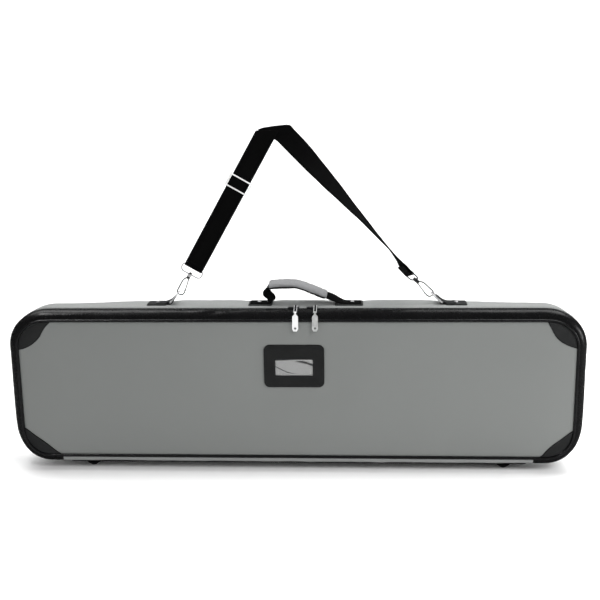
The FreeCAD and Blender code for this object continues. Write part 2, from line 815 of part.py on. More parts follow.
# ---- strap anchors and rings -----------------------------------------------
def strap_anchor(end):
    """Flat patch joined by a tongue to a tube round the ring's bar."""
    body = new_piece("strap_anchor_" + end.name)
    low = TOP + 0.1
    high = low + size.anchor_thickness
    half = size.patch_half_width
    patch_x = end.bar_x - 3 * end.inward
    tongue_x = end.bar_x - 7 * end.inward
    x0, x1 = (end.outer_x, patch_x) if end is LEFT else (patch_x, end.outer_x)
    pad(body, "z", low, high, rounded(x0, x1, HARDWARE - half, HARDWARE + half, 2))
    pad(body, "y", HARDWARE - 15, HARDWARE + 15, circle(end.bar_x, size.ring_bar_z, 5.3))
    pad(body, "y", HARDWARE - 15, HARDWARE + 15,
        wire([(tongue_x, low), (end.bar_x, TOP + 0.4), (end.bar_x, TOP + 3.4),
              (tongue_x, high)]))
    cut(body, "y", HARDWARE - 16, HARDWARE + 16, circle(end.bar_x, size.ring_bar_z, 2.8))
    cut(body, "z", TOP, TOP + 5, circle(end.rivet_x, HARDWARE, HOLE))


def d_ring(end, angle):
    """Flat ring in its own X-Y plane: straight bar on Y, bow towards +X."""
    body = new_piece("ring_" + end.name)
    half = size.ring_half_width
    bow = size.ring_reach - half
    corner = quantity(5)
    path = wire([(0, 0), (0, half - corner, corner, half - corner, -1),
                 (corner, half), (bow, half, bow, 0, -1),
                 (bow, -half), (corner, -half, corner, -half + corner, -1),
                 (0, -half + corner)])
    pipe(body, "z", 0, path, frame((1, 0, 0), (0, 0, 1), (0, -1, 0)),
         circle(0, 0, size.ring_wire_radius))
    place(body, end.bar_x, HARDWARE, size.ring_bar_z, (0, 1, 0), angle)


# ---- hooks -----------------------------------------------------------------
# Hook, gate, eye and strap end share a local frame: the origin is at the
# bottom of the hook and +Z runs up along the strap.
def chain_frame(end):
    """x, z and angle of the local frame, from the crown of the ring it holds."""
    side_offset, drop = 3.6, 5.6
    sine, cosine = sin_cos(end.tilt)
    crown_x = end.bar_x + size.ring_reach * cosine * end.inward
    crown_z = size.ring_bar_z + size.ring_reach * sine
    sine, cosine = sin_cos(end.chain_angle)
    return (crown_x + cosine * (side_offset * end.inward) - sine * drop,
            crown_z - sine * (side_offset * end.inward) - cosine * drop,
            end.chain_angle)


def place_on_chain(body, end, twisted=False):
    """Moves a piece to the chain; a twisted one is first turned about local Z."""
    x, z, angle = chain_frame(end)
    if twisted:
        lean = FreeCAD.Rotation(FreeCAD.Vector(0, 1, 0), angle.value)
        twist = FreeCAD.Rotation(FreeCAD.Vector(0, 0, 1), EYE_TWIST)
        place_rotated(body, x, HARDWARE, z, lean.multiply(twist))
    else:
        place(body, x, HARDWARE, z, (0, 1, 0), angle)


def hook(end):
    """Neck, long side, bend and nose, with a slotted collar and a swivel post."""
    body = new_piece("hook_" + end.name)
    way = end.inward
    neck, bend = size.hook_neck_height, size.hook_bend_radius
    start_x, start_drop = -1.856 * way, 0.679
    path = wire([(start_x, neck - start_drop, 11.0 * way, neck - 16, way),
                 (-bend * way, neck - 16), (-bend * way, bend, 0, bend, way),
                 (bend * way, bend), (bend * way, 13.0)], closed=False)
    start = wire_frame(start_x, (neck - start_drop).value, -0.76604 * way, -0.64279)
    pipe(body, "y", 0, path, start, circle(0, 0, size.hook_wire_radius))
    pad(body, "z", neck - 3, neck + 3, circle(0, 0, 4.6))
    pad(body, "z", neck + 2.5, neck + 12.5, circle(0, 0, 2.0))
    pad(body, "z", neck + 11.9, neck + 14.4, circle(0, 0, 3.6))
    # slot for the gate and the pin it turns on
    x0, x1 = sorted((0.2 * way, 6.2 * way))
    cut(body, "y", -1.7, 1.7, rectangle(x0, x1, neck - 4, neck + 1.2))
    pad(body, "y", -4.0, 4.0, circle(2.6 * way, neck - 1.4, 0.8))
    place_on_chain(body, end)


def hook_gate(end):
    """Spring gate: pivots in the neck and closes against the nose."""
    body = new_piece("gate_" + end.name)
    way = end.inward
    pivot_x, pivot_z = 2.6 * way, size.hook_neck_height - 1.4
    tip_x, tip_z = size.hook_bend_radius * way, 14.2
    start = wire_frame(pivot_x, pivot_z.value, tip_x.value - pivot_x, tip_z - pivot_z.value)
    pipe(body, "y", 0, wire([(pivot_x, pivot_z), (tip_x, tip_z)], closed=False),
         start, circle(0, 0, size.gate_wire_radius), "Right corner")
    pad(body, "y", -1.5, 1.5, circle(pivot_x, pivot_z, 2.0))
    pad(body, "y", -5.5, 1.0, circle(8.5 * way, 17.0, 1.9))
    cut(body, "y", -2, 2, circle(pivot_x, pivot_z, 1.0))
    place_on_chain(body, end)


def hook_eye(end):
    """Swivel eye: flat bow on a barrel that the hook's post turns in."""
    body = new_piece("hook_eye_" + end.name)
    top, half = size.eye_bar_height, size.eye_half_width
    small, large = 3, 9.5       # corner radii above and below
    middle, low = top - large, top - 2 * large
    path = wire([(0, top), (-half + small, top, -half + small, top - small, 1),
                 (-half, top - small), (-half, middle, -half + large, middle, 1),
                 (-half + large, low), (half - large, low, half - large, middle, 1),
                 (half, middle), (half, top - small, half - small, top - small, 1),
                 (half - small, top)])
    pipe(body, "y", 0, path, wire_frame(0, top.value, -1, 0), circle(0, 0, 1.7))
    pad(body, "z", top - 25.4, top - 18, circle(0, 0, 4.8))
    cut(body, "z", top - 30, top - 14, circle(0, 0, 2.3))
    # the right eye follows the twisted strap
    place_on_chain(body, end, twisted=end is RIGHT)


# ---- strap -----------------------------------------------------------------
def folded_webbing(back_height, front_height):
    """Webbing folded round the eye's bar, in (y, z); heights are above the bar."""
    bar_z = size.eye_bar_height
    inner, outer = 1.5, 3.5
    outer_bend, inner_bend = 4.0, 2.1
    steps = [math.pi * k / 8.0 for k in range(1, 8)]

    def bend(radius, angles):
        return [(radius * math.cos(t), bar_z + radius * math.sin(t)) for t in angles]

    return wire([(-outer, bar_z + front_height), (-outer, bar_z + 2)]
                + bend(outer_bend, [math.pi + step for step in steps])
                + [(outer, bar_z + 2), (outer, bar_z + back_height),
                   (inner, bar_z + back_height), (inner, bar_z + 2.6)]
                + bend(inner_bend, [-step for step in steps])
                + [(-inner, bar_z + 2.6), (-inner, bar_z + front_height)])


def strap_left():
    folded = new_piece("strap_return_left")
    back_height = size.adjuster_distance - size.eye_bar_height - 3
    pad(folded, "x", -STRAP_HALF, STRAP_HALF, folded_webbing(back_height, 7))
    place_on_chain(folded, LEFT)

    leg = new_piece("strap_leg_left")
    low = size.eye_bar_height + 7.2
    pad(leg, "y", -3.5, -1.5, wire([(-STRAP_HALF, low), (STRAP_HALF, low),
                                    (STRAP_HALF, 490), (-STRAP_HALF, 459.5)]))
    place_on_chain(leg, LEFT)


def strap_fold():
    body = new_piece("strap_fold")
    pad(body, "y", HARDWARE - 1.3, HARDWARE + 1, wire(STRAP_FOLD))


def strap_leg_right():
    """Flat strip that turns edge-on on its way down and a little beyond."""
    body = new_piece("strap_leg_right")
    x, z, angle = chain_frame(RIGHT)
    lean = math.radians(angle.value)
    reach = size.eye_bar_height.value + RIGHT_END_LENGTH + 0.6
    last = (x.value + math.sin(lean) * reach, z.value + math.cos(lean) * reach, EYE_TWIST)
    stations = RIGHT_LEG_STATIONS + [last]
    half_thickness = size.webbing_thickness / 2
    sections = []
    for k, (x, z, twist) in enumerate(stations):
        if k == len(stations) - 1:
            along = FreeCAD.Vector(-math.sin(lean), 0, -math.cos(lean))
        else:
            before, after = stations[max(k - 1, 0)], stations[k + 1]
            along = FreeCAD.Vector(after[0] - before[0], 0, after[1] - before[1])
        along.normalize()
        sideways = FreeCAD.Vector(-along.z, 0, along.x)
        turn = math.radians(twist)
        across = sideways * math.cos(turn) + FreeCAD.Vector(0, 1, 0) * math.sin(turn)
        placement = frame(across, (0, 0, 0), along, (x, HARDWARE.value, z))
        section = rectangle(-STRAP_HALF, STRAP_HALF, -half_thickness, half_thickness)
        sections.append(new_sketch(body, "station", "z", [section], placement=placement))
    loft = body.newObject("PartDesign::AdditiveLoft", "twisted_leg")
    loft.Profile = sections[0]
    loft.Sections = sections[1:]
    loft.Ruled = False


def strap_end_right():
    body = new_piece("strap_end_right")
    pad(body, "x", -STRAP_HALF, STRAP_HALF, folded_webbing(RIGHT_END_LENGTH, RIGHT_END_LENGTH))
    place_on_chain(body, RIGHT, twisted=True)


def strap_adjuster():
    """Two side rails, two bars in front of the webbing and one behind it."""
    body = new_piece("strap_adjuster")
    middle = size.adjuster_distance
    low, high = middle - size.adjuster_half_length, middle + size.adjuster_half_length
    for x0, x1 in ((-31, -26.6), (26.6, 31)):
        pad(body, "y", -7.4, 7.4, rounded(x0, x1, low, high, 2))
    for y, z in ((-5.8, low + 3), (-5.8, high - 3), (5.8, middle)):
        pad(body, "x", -28, 28, circle(y, z, 1.8))
    place_on_chain(body, LEFT)


# ---- check and write -------------------------------------------------------
def check():
    doc.recompute()
    problems = ["%s: %s" % (item.Name, item.State) for item in doc.Objects
                if "Invalid" in item.State or "Error" in item.State]
    for body in pieces:
        if body.Shape.isNull() or not body.Shape.isValid() or not body.Shape.Solids:
            problems.append("%s has no valid solid" % body.Label)
    if problems:
        raise RuntimeError("; ".join(problems[:12]))


def export():
    os.makedirs("parts", exist_ok=True)
    for body in pieces:
        body.Shape.exportStep("parts/%s.step" % body.Label)


body_shell()
body_layers()
base_pad()
base_feet()
foot_rivets()
zip_tapes_and_coils()
lid_shoulder()
hinge_strip()
lid_layers()
lid_piping()
corner_patches()
tag()
sliders_and_pulls()
handle()
for strap_side in (LEFT, RIGHT):
    strap_anchor(strap_side)
top_rivets("anchor_rivets", ANCHOR_RIVETS, 3.8)
d_ring(LEFT, -LEFT.tilt)
d_ring(RIGHT, RIGHT.tilt - 180)
for strap_side in (LEFT, RIGHT):
    hook(strap_side)
    hook_gate(strap_side)
    hook_eye(strap_side)
strap_left()
strap_fold()
strap_leg_right()
strap_end_right()
strap_adjuster()
check()
export()
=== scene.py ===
import math
import bpy
import bmesh
import numpy as np
from mathutils import Vector, Matrix
from mathutils.bvhtree import BVHTree
from mathutils.geometry import delaunay_2d_cdt

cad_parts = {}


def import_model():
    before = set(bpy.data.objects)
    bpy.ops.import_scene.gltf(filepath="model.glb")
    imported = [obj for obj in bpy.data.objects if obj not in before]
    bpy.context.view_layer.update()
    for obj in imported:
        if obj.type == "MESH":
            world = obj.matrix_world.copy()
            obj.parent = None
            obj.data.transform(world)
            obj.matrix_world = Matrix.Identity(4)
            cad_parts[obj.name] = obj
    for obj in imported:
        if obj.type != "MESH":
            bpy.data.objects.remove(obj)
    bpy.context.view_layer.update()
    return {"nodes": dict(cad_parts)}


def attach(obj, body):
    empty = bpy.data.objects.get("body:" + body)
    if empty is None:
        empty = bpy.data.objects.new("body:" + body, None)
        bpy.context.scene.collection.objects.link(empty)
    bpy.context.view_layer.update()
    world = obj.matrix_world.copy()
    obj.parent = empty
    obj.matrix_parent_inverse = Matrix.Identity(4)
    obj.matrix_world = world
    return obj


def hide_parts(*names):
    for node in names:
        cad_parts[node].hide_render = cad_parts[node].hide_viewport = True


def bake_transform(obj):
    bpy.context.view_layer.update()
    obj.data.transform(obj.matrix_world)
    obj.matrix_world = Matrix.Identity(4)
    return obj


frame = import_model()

scene = bpy.context.scene
HX, Z0, Z1, RC = 725.0, 22.0, 423.0, 93.0
V3 = lambda *a: np.array(a, float)


# ------------------------------------------------------------------ noise
def wob(p, scale, seed, stretch=(1, 1, 1)):
    """smooth pseudo-noise, about -1..1, feature size near scale (mm)"""
    r = np.random.RandomState(seed)
    q = np.asarray(p, float) / np.array(stretch, float)
    out = np.zeros(len(q))
    for k in range(9):
        d = r.normal(size=3)
        d /= np.linalg.norm(d)
        f = 2 * math.pi / (scale * (0.55 + 1.1 * r.rand()))
        out += np.sin(q @ d * f + r.rand() * 6.28 + 0.7 * np.sin(q @ np.roll(d, 1) * f * 0.6))
    return out / 4.2


# ------------------------------------------------------------------ materials
def material(name, base, rough=0.6, var=0.10, var_scale=9.0, weave=0.0, weave_amt=0.0, grain=0.0, grain_amt=0.0,
             metal=0.0, sheen=0.0, coat=0.0, spec=0.5, wear=0.0, uv=False, wrinkle=0.0, wrinkle_scale=30.0,
             ribs=0.0, rib_amt=0.0, scratches=0.0, rough_var=0.12, alpha=1.0, bump_dist=0.0006, trans=0.0, tint=None):
    m = bpy.data.materials.new(name)
    m.use_nodes = True
    nt = m.node_tree
    nd, ln = nt.nodes, nt.links
    b = nd["Principled BSDF"]
    tc = nd.new("ShaderNodeTexCoord")
    src = tc.outputs["UV" if uv else "Object"]

    def noise(scale, detail=4.0, rough_=0.55, inp=src):
        n = nd.new("ShaderNodeTexNoise")
        n.inputs["Scale"].default_value = scale
        n.inputs["Detail"].default_value = detail
        n.inputs["Roughness"].default_value = rough_
        ln.new(inp, n.inputs["Vector"])
        return n.outputs["Fac"]

    def math_(op, a, c=None, v=None):
        n = nd.new("ShaderNodeMath")
        n.operation = op
        for k, x in enumerate((a, c)):
            if x is None:
                continue
            if isinstance(x, (int, float)):
                n.inputs[k].default_value = x
            else:
                ln.new(x, n.inputs[k])
        return n.outputs[0]

    def mix(fac, a, c):
        n = nd.new("ShaderNodeMix")
        n.data_type = "RGBA"
        ln.new(fac, n.inputs[0])
        for k, x in ((6, a), (7, c)):
            if isinstance(x, tuple):
                n.inputs[k].default_value = x
            else:
                ln.new(x, n.inputs[k])
        return n.outputs[2]

    def rgb(f):
        return tuple(min(1.0, c * f) for c in base) + (1.0,)
    nbig = noise(var_scale)
    ramp = nd.new("ShaderNodeMapRange")
    ramp.inputs[1].default_value, ramp.inputs[2].default_value = 0.3, 0.7
    ln.new(nbig, ramp.inputs[0])
    col = mix(ramp.outputs[0], rgb(1 - var), rgb(1 + var))
    if tint:
        col = mix(noise(var_scale * 2.3, 2.0), col, tuple(tint) + (1.0,))
    heights = []
    thread = None
    if weave:
        outs = []
        if not uv:
            # each thread direction fades out where the cloth faces along it
            nrm = nd.new("ShaderNodeVectorMath")
            nrm.operation = "MULTIPLY"
            ln.new(tc.outputs["Normal"], nrm.inputs[0])
            ln.new(tc.outputs["Normal"], nrm.inputs[1])
            parts_ = nd.new("ShaderNodeSeparateXYZ")
            ln.new(nrm.outputs[0], parts_.inputs[0])
        for d in (("X", "Y") if uv else ("X", "Y", "Z")):
            w = nd.new("ShaderNodeTexWave")
            w.bands_direction = d
            w.inputs["Scale"].default_value = 0.314 / (weave * 0.001)
            w.inputs["Distortion"].default_value = 0.35
            w.inputs["Detail Scale"].default_value = 40.0
            ln.new(src, w.inputs["Vector"])
            if uv:
                outs.append(w.outputs["Fac"])
            else:
                outs.append(math_("MULTIPLY", w.outputs["Fac"], math_("SUBTRACT", 1.0, parts_.outputs[d])))
        s = outs[0]
        for o in outs[1:]:
            s = math_("ADD", s, o)
        thread = math_("MULTIPLY", s, 0.5)
        heights.append((thread, weave_amt))
        col = mix(math_("MULTIPLY", thread, 0.55), col, rgb(0.72))
    if ribs:
        w = nd.new("ShaderNodeTexWave")
        w.bands_direction = "X"
        w.inputs["Scale"].default_value = 0.314 / (ribs * 0.001)
        w.inputs["Distortion"].default_value = 0.6
        ln.new(src, w.inputs["Vector"])
        heights.append((w.outputs["Fac"], rib_amt))
        col = mix(math_("MULTIPLY", w.outputs["Fac"], 0.6), rgb(0.55), col)
    if grain:
        vo = nd.new("ShaderNodeTexVoronoi")
        vo.feature = "DISTANCE_TO_EDGE"
        vo.inputs["Scale"].default_value = 1000.0 / grain
        wv = nd.new("ShaderNodeVectorMath")
        wv.operation = "ADD"
        nn = nd.new("ShaderNodeTexNoise")
        nn.inputs["Scale"].default_value = 500.0 / grain
        ln.new(src, nn.inputs["Vector"])
        sc = nd.new("ShaderNodeVectorMath")
        sc.operation = "SCALE"
        sc.inputs["Scale"].default_value = grain * 0.0009
        ln.new(nn.outputs["Color"], sc.inputs[0])
        ln.new(src, wv.inputs[0])
        ln.new(sc.outputs[0], wv.inputs[1])
        ln.new(wv.outputs[0], vo.inputs["Vector"])
        cl = nd.new("ShaderNodeMapRange")
        cl.inputs[1].default_value, cl.inputs[2].default_value = 0.0, 0.22
        ln.new(vo.outputs["Distance"], cl.inputs[0])
        heights.append((cl.outputs[0], grain_amt))
        col = mix(cl.outputs[0], rgb(0.62), col)
    if wrinkle:
        heights.append((noise(wrinkle_scale, 3.0, 0.5), wrinkle))
    if scratches:
        mp = nd.new("ShaderNodeMapping")
        mp.inputs["Scale"].default_value = (40, 900, 900)
        mp.inputs["Rotation"].default_value = (0.3, 0.7, 0.5)
        ln.new(src, mp.inputs["Vector"])
        heights.append((noise(1.0, 2.0, 0.5, mp.outputs[0]), scratches))
    if wear:
        g = nd.new("ShaderNodeNewGeometry")
        r2 = nd.new("ShaderNodeMapRange")
        r2.inputs[1].default_value, r2.inputs[2].default_value = 0.53, 0.62
        ln.new(g.outputs["Pointiness"], r2.inputs[0])
        worn = math_("MULTIPLY", r2.outputs[0], math_("MULTIPLY", noise(120.0), wear * 1.6))
        col = mix(worn, col, tuple(min(1.0, c * 2.2 + 0.03) for c in base) + (1.0,))
    ln.new(col, b.inputs["Base Color"])
    rr = nd.new("ShaderNodeMapRange")
    rr.inputs[3].default_value, rr.inputs[4].default_value = max(0.03, rough - rough_var), min(1.0, rough + rough_var)
    ln.new(noise(var_scale * 4.0, 5.0), rr.inputs[0])
    ln.new(rr.outputs[0], b.inputs["Roughness"])
    b.inputs["Metallic"].default_value = metal
    b.inputs["Specular IOR Level"].default_value = spec
    b.inputs["Coat Weight"].default_value = coat
    b.inputs["Coat Roughness"].default_value = 0.2
    b.inputs["Sheen Weight"].default_value = sheen
    b.inputs["Sheen Roughness"].default_value = 0.5
    if alpha < 1.0:
        b.inputs["Alpha"].default_value = alpha
    if trans:
        b.inputs["Transmission Weight"].default_value = trans
    prev = None
    for h, amt in heights:
        bp = nd.new("ShaderNodeBump")
        bp.inputs["Strength"].default_value = amt
        bp.inputs["Distance"].default_value = bump_dist
        ln.new(h, bp.inputs["Height"])
        if prev is not None:
            ln.new(prev, bp.inputs["Normal"])
        prev = bp.outputs[0]
    if prev is not None:
        ln.new(prev, b.inputs["Normal"])
    return m


GREY = (0.176, 0.184, 0.178)
M = {
    "panel": material("grey_panel_fabric", GREY, 0.62, 0.03, 2.2, weave=1.1, weave_amt=0.22, sheen=0.08, spec=0.35, wrinkle=0.5, wrinkle_scale=7.0, bump_dist=0.0008),
    "shell": material("grey_shell_fabric", (0.205, 0.212, 0.208), 0.55, 0.05, 3.0, weave=1.1, weave_amt=0.25, sheen=0.1, spec=0.4, wrinkle=0.5, wrinkle_scale=9.0, bump_dist=0.0008),
    # the hinge strip's grey is a lighter copy of the shell fabric: the extra lightness is painted light that lifts the
    # down-facing strip out of its shade
    "strip": material("grey_strip_fabric_painted_lift", (0.24, 0.248, 0.244), 0.6, 0.05, 3.0, weave=1.1, weave_amt=0.25, sheen=0.1, spec=0.35, wrinkle=0.5, wrinkle_scale=9.0),
    "back": material("grey_back_fabric", GREY, 0.6, 0.05, 3.0, weave=1.1, weave_amt=0.25, sheen=0.1, spec=0.35, wrinkle=0.5, wrinkle_scale=9.0),
    "gloss": material("black_gloss_vinyl", (0.0035, 0.0035, 0.0038), 0.27, 0.25, 14.0, grain=1.5, grain_amt=0.03, spec=0.32, wrinkle=0.45, wrinkle_scale=22.0, wear=0.15, bump_dist=0.001, rough_var=0.08),
    "piping": material("black_piping", (0.005, 0.005, 0.0055), 0.22, 0.2, 40.0, grain=1.2, grain_amt=0.1, spec=0.5, wrinkle=0.35, wrinkle_scale=90.0, rough_var=0.08),
    "leather": material("black_leatherette", (0.018, 0.0187, 0.0190), 0.52, 0.2, 22.0, grain=1.7, grain_amt=0.35, spec=0.25, wear=0.35, wrinkle=0.3, wrinkle_scale=40.0),
    "tag": material("tag_leatherette", (0.0135, 0.0140, 0.0142), 0.50, 0.2, 24.0, grain=1.6, grain_amt=0.35, spec=0.25, wear=0.3, wrinkle=0.25, wrinkle_scale=45.0),
    "webbing": material("black_webbing", (0.0030, 0.0030, 0.0032), 0.78, 0.2, 30.0, ribs=1.7, rib_amt=0.5, weave=0.9, weave_amt=0.3, spec=0.06, uv=True),
    "tape": material("black_zip_tape", (0.006, 0.006, 0.0065), 0.7, 0.2, 40.0, ribs=1.3, rib_amt=0.5, weave=0.8, weave_amt=0.3, spec=0.2, uv=True),
    "coil": material("black_zip_teeth", (0.009, 0.009, 0.010), 0.32, 0.2, 90.0, spec=0.5, wear=0.3, wrinkle=0.2, wrinkle_scale=300.0),
    "lining": material("black_lining", (0.016, 0.0165, 0.018), 0.66, 0.15, 12.0, weave=0.9, weave_amt=0.3, sheen=0.05, spec=0.25, wrinkle=0.7, wrinkle_scale=22.0),
    "lining_lid": material("black_lid_lining", (0.018, 0.0185, 0.020), 0.66, 0.15, 12.0, weave=0.9, weave_amt=0.3, sheen=0.05, spec=0.25, wrinkle=0.7, wrinkle_scale=22.0),
    "board": material("stiffener_board", (0.30, 0.25, 0.18), 0.85, 0.15, 30.0, grain=2.0, grain_amt=0.15, spec=0.2),
    "rubber": material("foot_rubber", (0.012, 0.012, 0.012), 0.6, 0.25, 60.0, grain=1.0, grain_amt=0.2, spec=0.35, wear=0.5, wrinkle=0.3, wrinkle_scale=200.0),
    "chrome": material("bright_metal", (0.74, 0.74, 0.75), 0.2, 0.05, 60.0, metal=0.62, scratches=0.08, rough_var=0.07, wear=0.2, bump_dist=0.0003),
    "tab_bright": material("polished_tab", (0.93, 0.93, 0.93), 0.2, 0.04, 60.0, metal=0.3, scratches=0.08, rough_var=0.07, wear=0.2, bump_dist=0.0003),
    "nickel": material("worn_nickel", (0.52, 0.53, 0.52), 0.32, 0.10, 60.0, metal=0.5, scratches=0.14, rough_var=0.1, wear=0.3, bump_dist=0.0003),
    "dark_metal": material("dark_metal", (0.085, 0.085, 0.09), 0.30, 0.15, 60.0, metal=1.0, scratches=0.12, rough_var=0.1, wear=0.5, bump_dist=0.0003),
    "hook": material("hook_steel", (0.07, 0.07, 0.072), 0.25, 0.10, 60.0, metal=0.8, scratches=0.12, rough_var=0.1, wear=0.3, bump_dist=0.0003),
    "grip": material("grip_fabric", (0.178, 0.180, 0.184), 0.6, 0.06, 20.0, weave=1.1, weave_amt=0.35, sheen=0.1, spec=0.35, wrinkle=0.9, wrinkle_scale=45.0, wear=0.2),
    "card": material("tag_card", (0.27, 0.275, 0.27), 0.8, 0.05, 40.0, grain=0.7, grain_amt=0.1, spec=0.2),
    "film": material("clear_film", (0.85, 0.86, 0.86), 0.07, 0.03, 60.0, spec=0.7, wrinkle=1.0, wrinkle_scale=60.0, alpha=0.22, rough_var=0.04, bump_dist=0.0022, scratches=0.1),
    "thread_dark": material("dark_thread", (0.030, 0.031, 0.032), 0.65, 0.2, 60.0, ribs=0.6, rib_amt=0.4, spec=0.3),
    "thread_black": material("black_thread", (0.010, 0.010, 0.011), 0.6, 0.2, 60.0, ribs=0.6, rib_amt=0.4, spec=0.3),
    "thread_grey": material("grey_thread", (0.13, 0.135, 0.13), 0.65, 0.1, 60.0, ribs=0.6, rib_amt=0.4, spec=0.3),
}


# painted reflections on the tag window: streak lines drawn into the film's alpha and base colour (dark streaks, light
# grey between) stand in for reflections on the clear film
fn_ = M["film"].node_tree
ft = fn_.nodes.new("ShaderNodeTexCoord")
fs = fn_.nodes.new("ShaderNodeSeparateXYZ")
fno = fn_.nodes.new("ShaderNodeTexNoise")
fno.inputs["Scale"].default_value = 28.0
fn_.links.new(ft.outputs["Object"], fs.inputs[0])
fn_.links.new(ft.outputs["Object"], fno.inputs["Vector"])


def fmath(op, *args):
    n = fn_.nodes.new("ShaderNodeMath")
    n.operation = op
    for k, x in enumerate(args):
        if isinstance(x, (int, float)):
            n.inputs[k].default_value = x
        else:
            fn_.links.new(x, n.inputs[k])
    return n.outputs[0]


painted_reflection_streaks = None
for (x0_, z0_, slope, curve, wid, gain, xa_, xb_) in ((-0.012, 0.2655, -0.30, 5.0, 0.0016, 0.75, 0.010, -0.012), (0.022, 0.2925, -0.22, -4.0, 0.0040, 0.9, 0.000, 0.024), (0.0, 0.3003, 0.0, 0.0, 0.0013, 0.9, -1.0, -0.9), (0.036, 0.2885, -0.10, 0.0, 0.0026, 0.8, 0.012, 0.030), (-0.035, 0.2985, 0.02, 0.0, 0.0022, 0.8, -0.010, -0.028)):
    dx_ = fmath("SUBTRACT", fs.outputs[0], x0_)
    line_ = fmath("ADD", fmath("MULTIPLY", dx_, slope), fmath("MULTIPLY", fmath("MULTIPLY", dx_, dx_), curve))
    dz_ = fmath("ABSOLUTE", fmath("SUBTRACT", fmath("SUBTRACT", fs.outputs[2], z0_), fmath("ADD", line_, fmath("MULTIPLY", fmath("SUBTRACT", fno.outputs["Fac"], 0.5), 0.006))))
    st1 = fmath("MULTIPLY", fmath("MAXIMUM", fmath("SUBTRACT", 1.0, fmath("DIVIDE", dz_, wid)), 0.0), gain)
    edge_ = fn_.nodes.new("ShaderNodeMapRange")
    edge_.inputs[1].default_value, edge_.inputs[2].default_value = (xa_, xb_) if xa_ < xb_ else (xb_, xa_)
    edge_.inputs[3].default_value, edge_.inputs[4].default_value = (0.0, 1.0) if xa_ < xb_ else (1.0, 0.0)
    fn_.links.new(fs.outputs[0], edge_.inputs[0])
    st1 = fmath("MULTIPLY", st1, edge_.outputs[0])
    painted_reflection_streaks = st1 if painted_reflection_streaks is None else fmath("MAXIMUM", painted_reflection_streaks, st1)
fn_.links.new(fmath("ADD", fmath("MULTIPLY", painted_reflection_streaks, 0.7), 0.12), fn_.nodes["Principled BSDF"].inputs["Alpha"])
fc_ = fn_.nodes.new("ShaderNodeValToRGB")
fc_.color_ramp.elements[0].position, fc_.color_ramp.elements[0].color = 0.05, (0.55, 0.55, 0.55, 1)
fc_.color_ramp.elements[1].position, fc_.color_ramp.elements[1].color = 0.35, (0.05, 0.052, 0.052, 1)
fn_.links.new(painted_reflection_streaks, fc_.inputs[0])
fn_.links.new(fc_.outputs[0], fn_.nodes["Principled BSDF"].inputs["Base Color"])


# ------------------------------------------------------------------ mesh helpers
def obj(name, verts, faces, mat, uv=None, smooth=True, mm=True, recalc=True):
    me = bpy.data.meshes.new(name)
    v = np.asarray(verts, float) * (0.001 if mm else 1.0)
    me.from_pydata(v.tolist(), [], [tuple(int(i) for i in f) for f in faces])
    if uv is not None:
        lay = me.uv_layers.new(name="UVMap")
        idx = np.zeros(len(me.loops), int)
        me.loops.foreach_get("vertex_index", idx)
        lay.data.foreach_set("uv", (np.asarray(uv, float)[idx]).astype(np.float32).ravel())
    me.polygons.foreach_set("use_smooth", [smooth] * len(me.polygons))
    me.update()
    o = bpy.data.objects.new(name, me)
    scene.collection.objects.link(o)
    me.materials.append(M[mat])
    if recalc:
        bm = bmesh.new()
        bm.from_mesh(me)
        bmesh.ops.recalc_face_normals(bm, faces=bm.faces)
        bm.to_mesh(me)
        bm.free()
    return o


def coords(o):
    a = np.zeros(len(o.data.vertices) * 3)
    o.data.vertices.foreach_get("co", a)
    return a.reshape(-1, 3)


def set_coords(o, a):
    o.data.vertices.foreach_set("co", np.asarray(a, np.float32).ravel())
    o.data.update()


def normals(o):
    a = np.zeros(len(o.data.vertices) * 3)
    o.data.vertices.foreach_get("normal", a)
    return a.reshape(-1, 3)


def bake(o):
    """apply every modifier on the object"""
    dg = bpy.context.evaluated_depsgraph_get()
    me = bpy.data.meshes.new_from_object(o.evaluated_get(dg), preserve_all_data_layers=True, depsgraph=dg)
    o.modifiers.clear()
    o.data = me
    return o


def solidify(o, t, offset=-1.0):
    m = o.modifiers.new("wall", "SOLIDIFY")
    m.thickness = t * 0.001
    m.offset = offset
    m.use_even_offset = False
    bpy.context.view_layer.update()
    return bake(o)


def subdivide(o, n=1):
    m = o.modifiers.new("sub", "SUBSURF")
    m.levels = n
    m.render_levels = n
    m.boundary_smooth = "PRESERVE_CORNERS"
    bpy.context.view_layer.update()
    return bake(o)


def cloth(o, pinned, frames=20, pressure=4.0, stiff=15.0, shrink=0.0, bend=1.0):
    """pressure cloth run on a copy; returns the simulated coordinates in metres"""
    c = o.copy()
    c.data = o.data.copy()
    scene.collection.objects.link(c)
    g = c.vertex_groups.new(name="pin")
    g.add([int(i) for i in np.where(pinned)[0]], 1.0, "REPLACE")
    m = c.modifiers.new("cloth", "CLOTH")
    s = m.settings
    s.quality = 6
    s.mass = 0.3
    s.tension_stiffness = stiff
    s.compression_stiffness = stiff
    s.shear_stiffness = 5
    s.bending_stiffness = bend
    s.use_pressure = True
    s.uniform_pressure_force = pressure
    s.shrink_min = shrink
    s.vertex_group_mass = "pin"
    s.effector_weights.gravity = 0
    m.collision_settings.use_collision = False
    scene.frame_start, scene.frame_end = 1, frames
    m.point_cache.frame_start, m.point_cache.frame_end = 1, frames
    for f in range(1, frames + 1):
        scene.frame_set(f)
    dg = bpy.context.evaluated_depsgraph_get()
    me = c.evaluated_get(dg).to_mesh()
    a = np.zeros(len(me.vertices) * 3)
    me.vertices.foreach_get("co", a)
    c.evaluated_get(dg).to_mesh_clear()
    dm = c.data
    bpy.data.objects.remove(c)
    bpy.data.meshes.remove(dm)
    scene.frame_set(1)
    return a.reshape(-1, 3)


def limit(rest, moved, cap):
    d = moved - rest
    n = np.linalg.norm(d, axis=1, keepdims=True) + 1e-12
    return rest + d / n * (cap * np.tanh(n / cap))


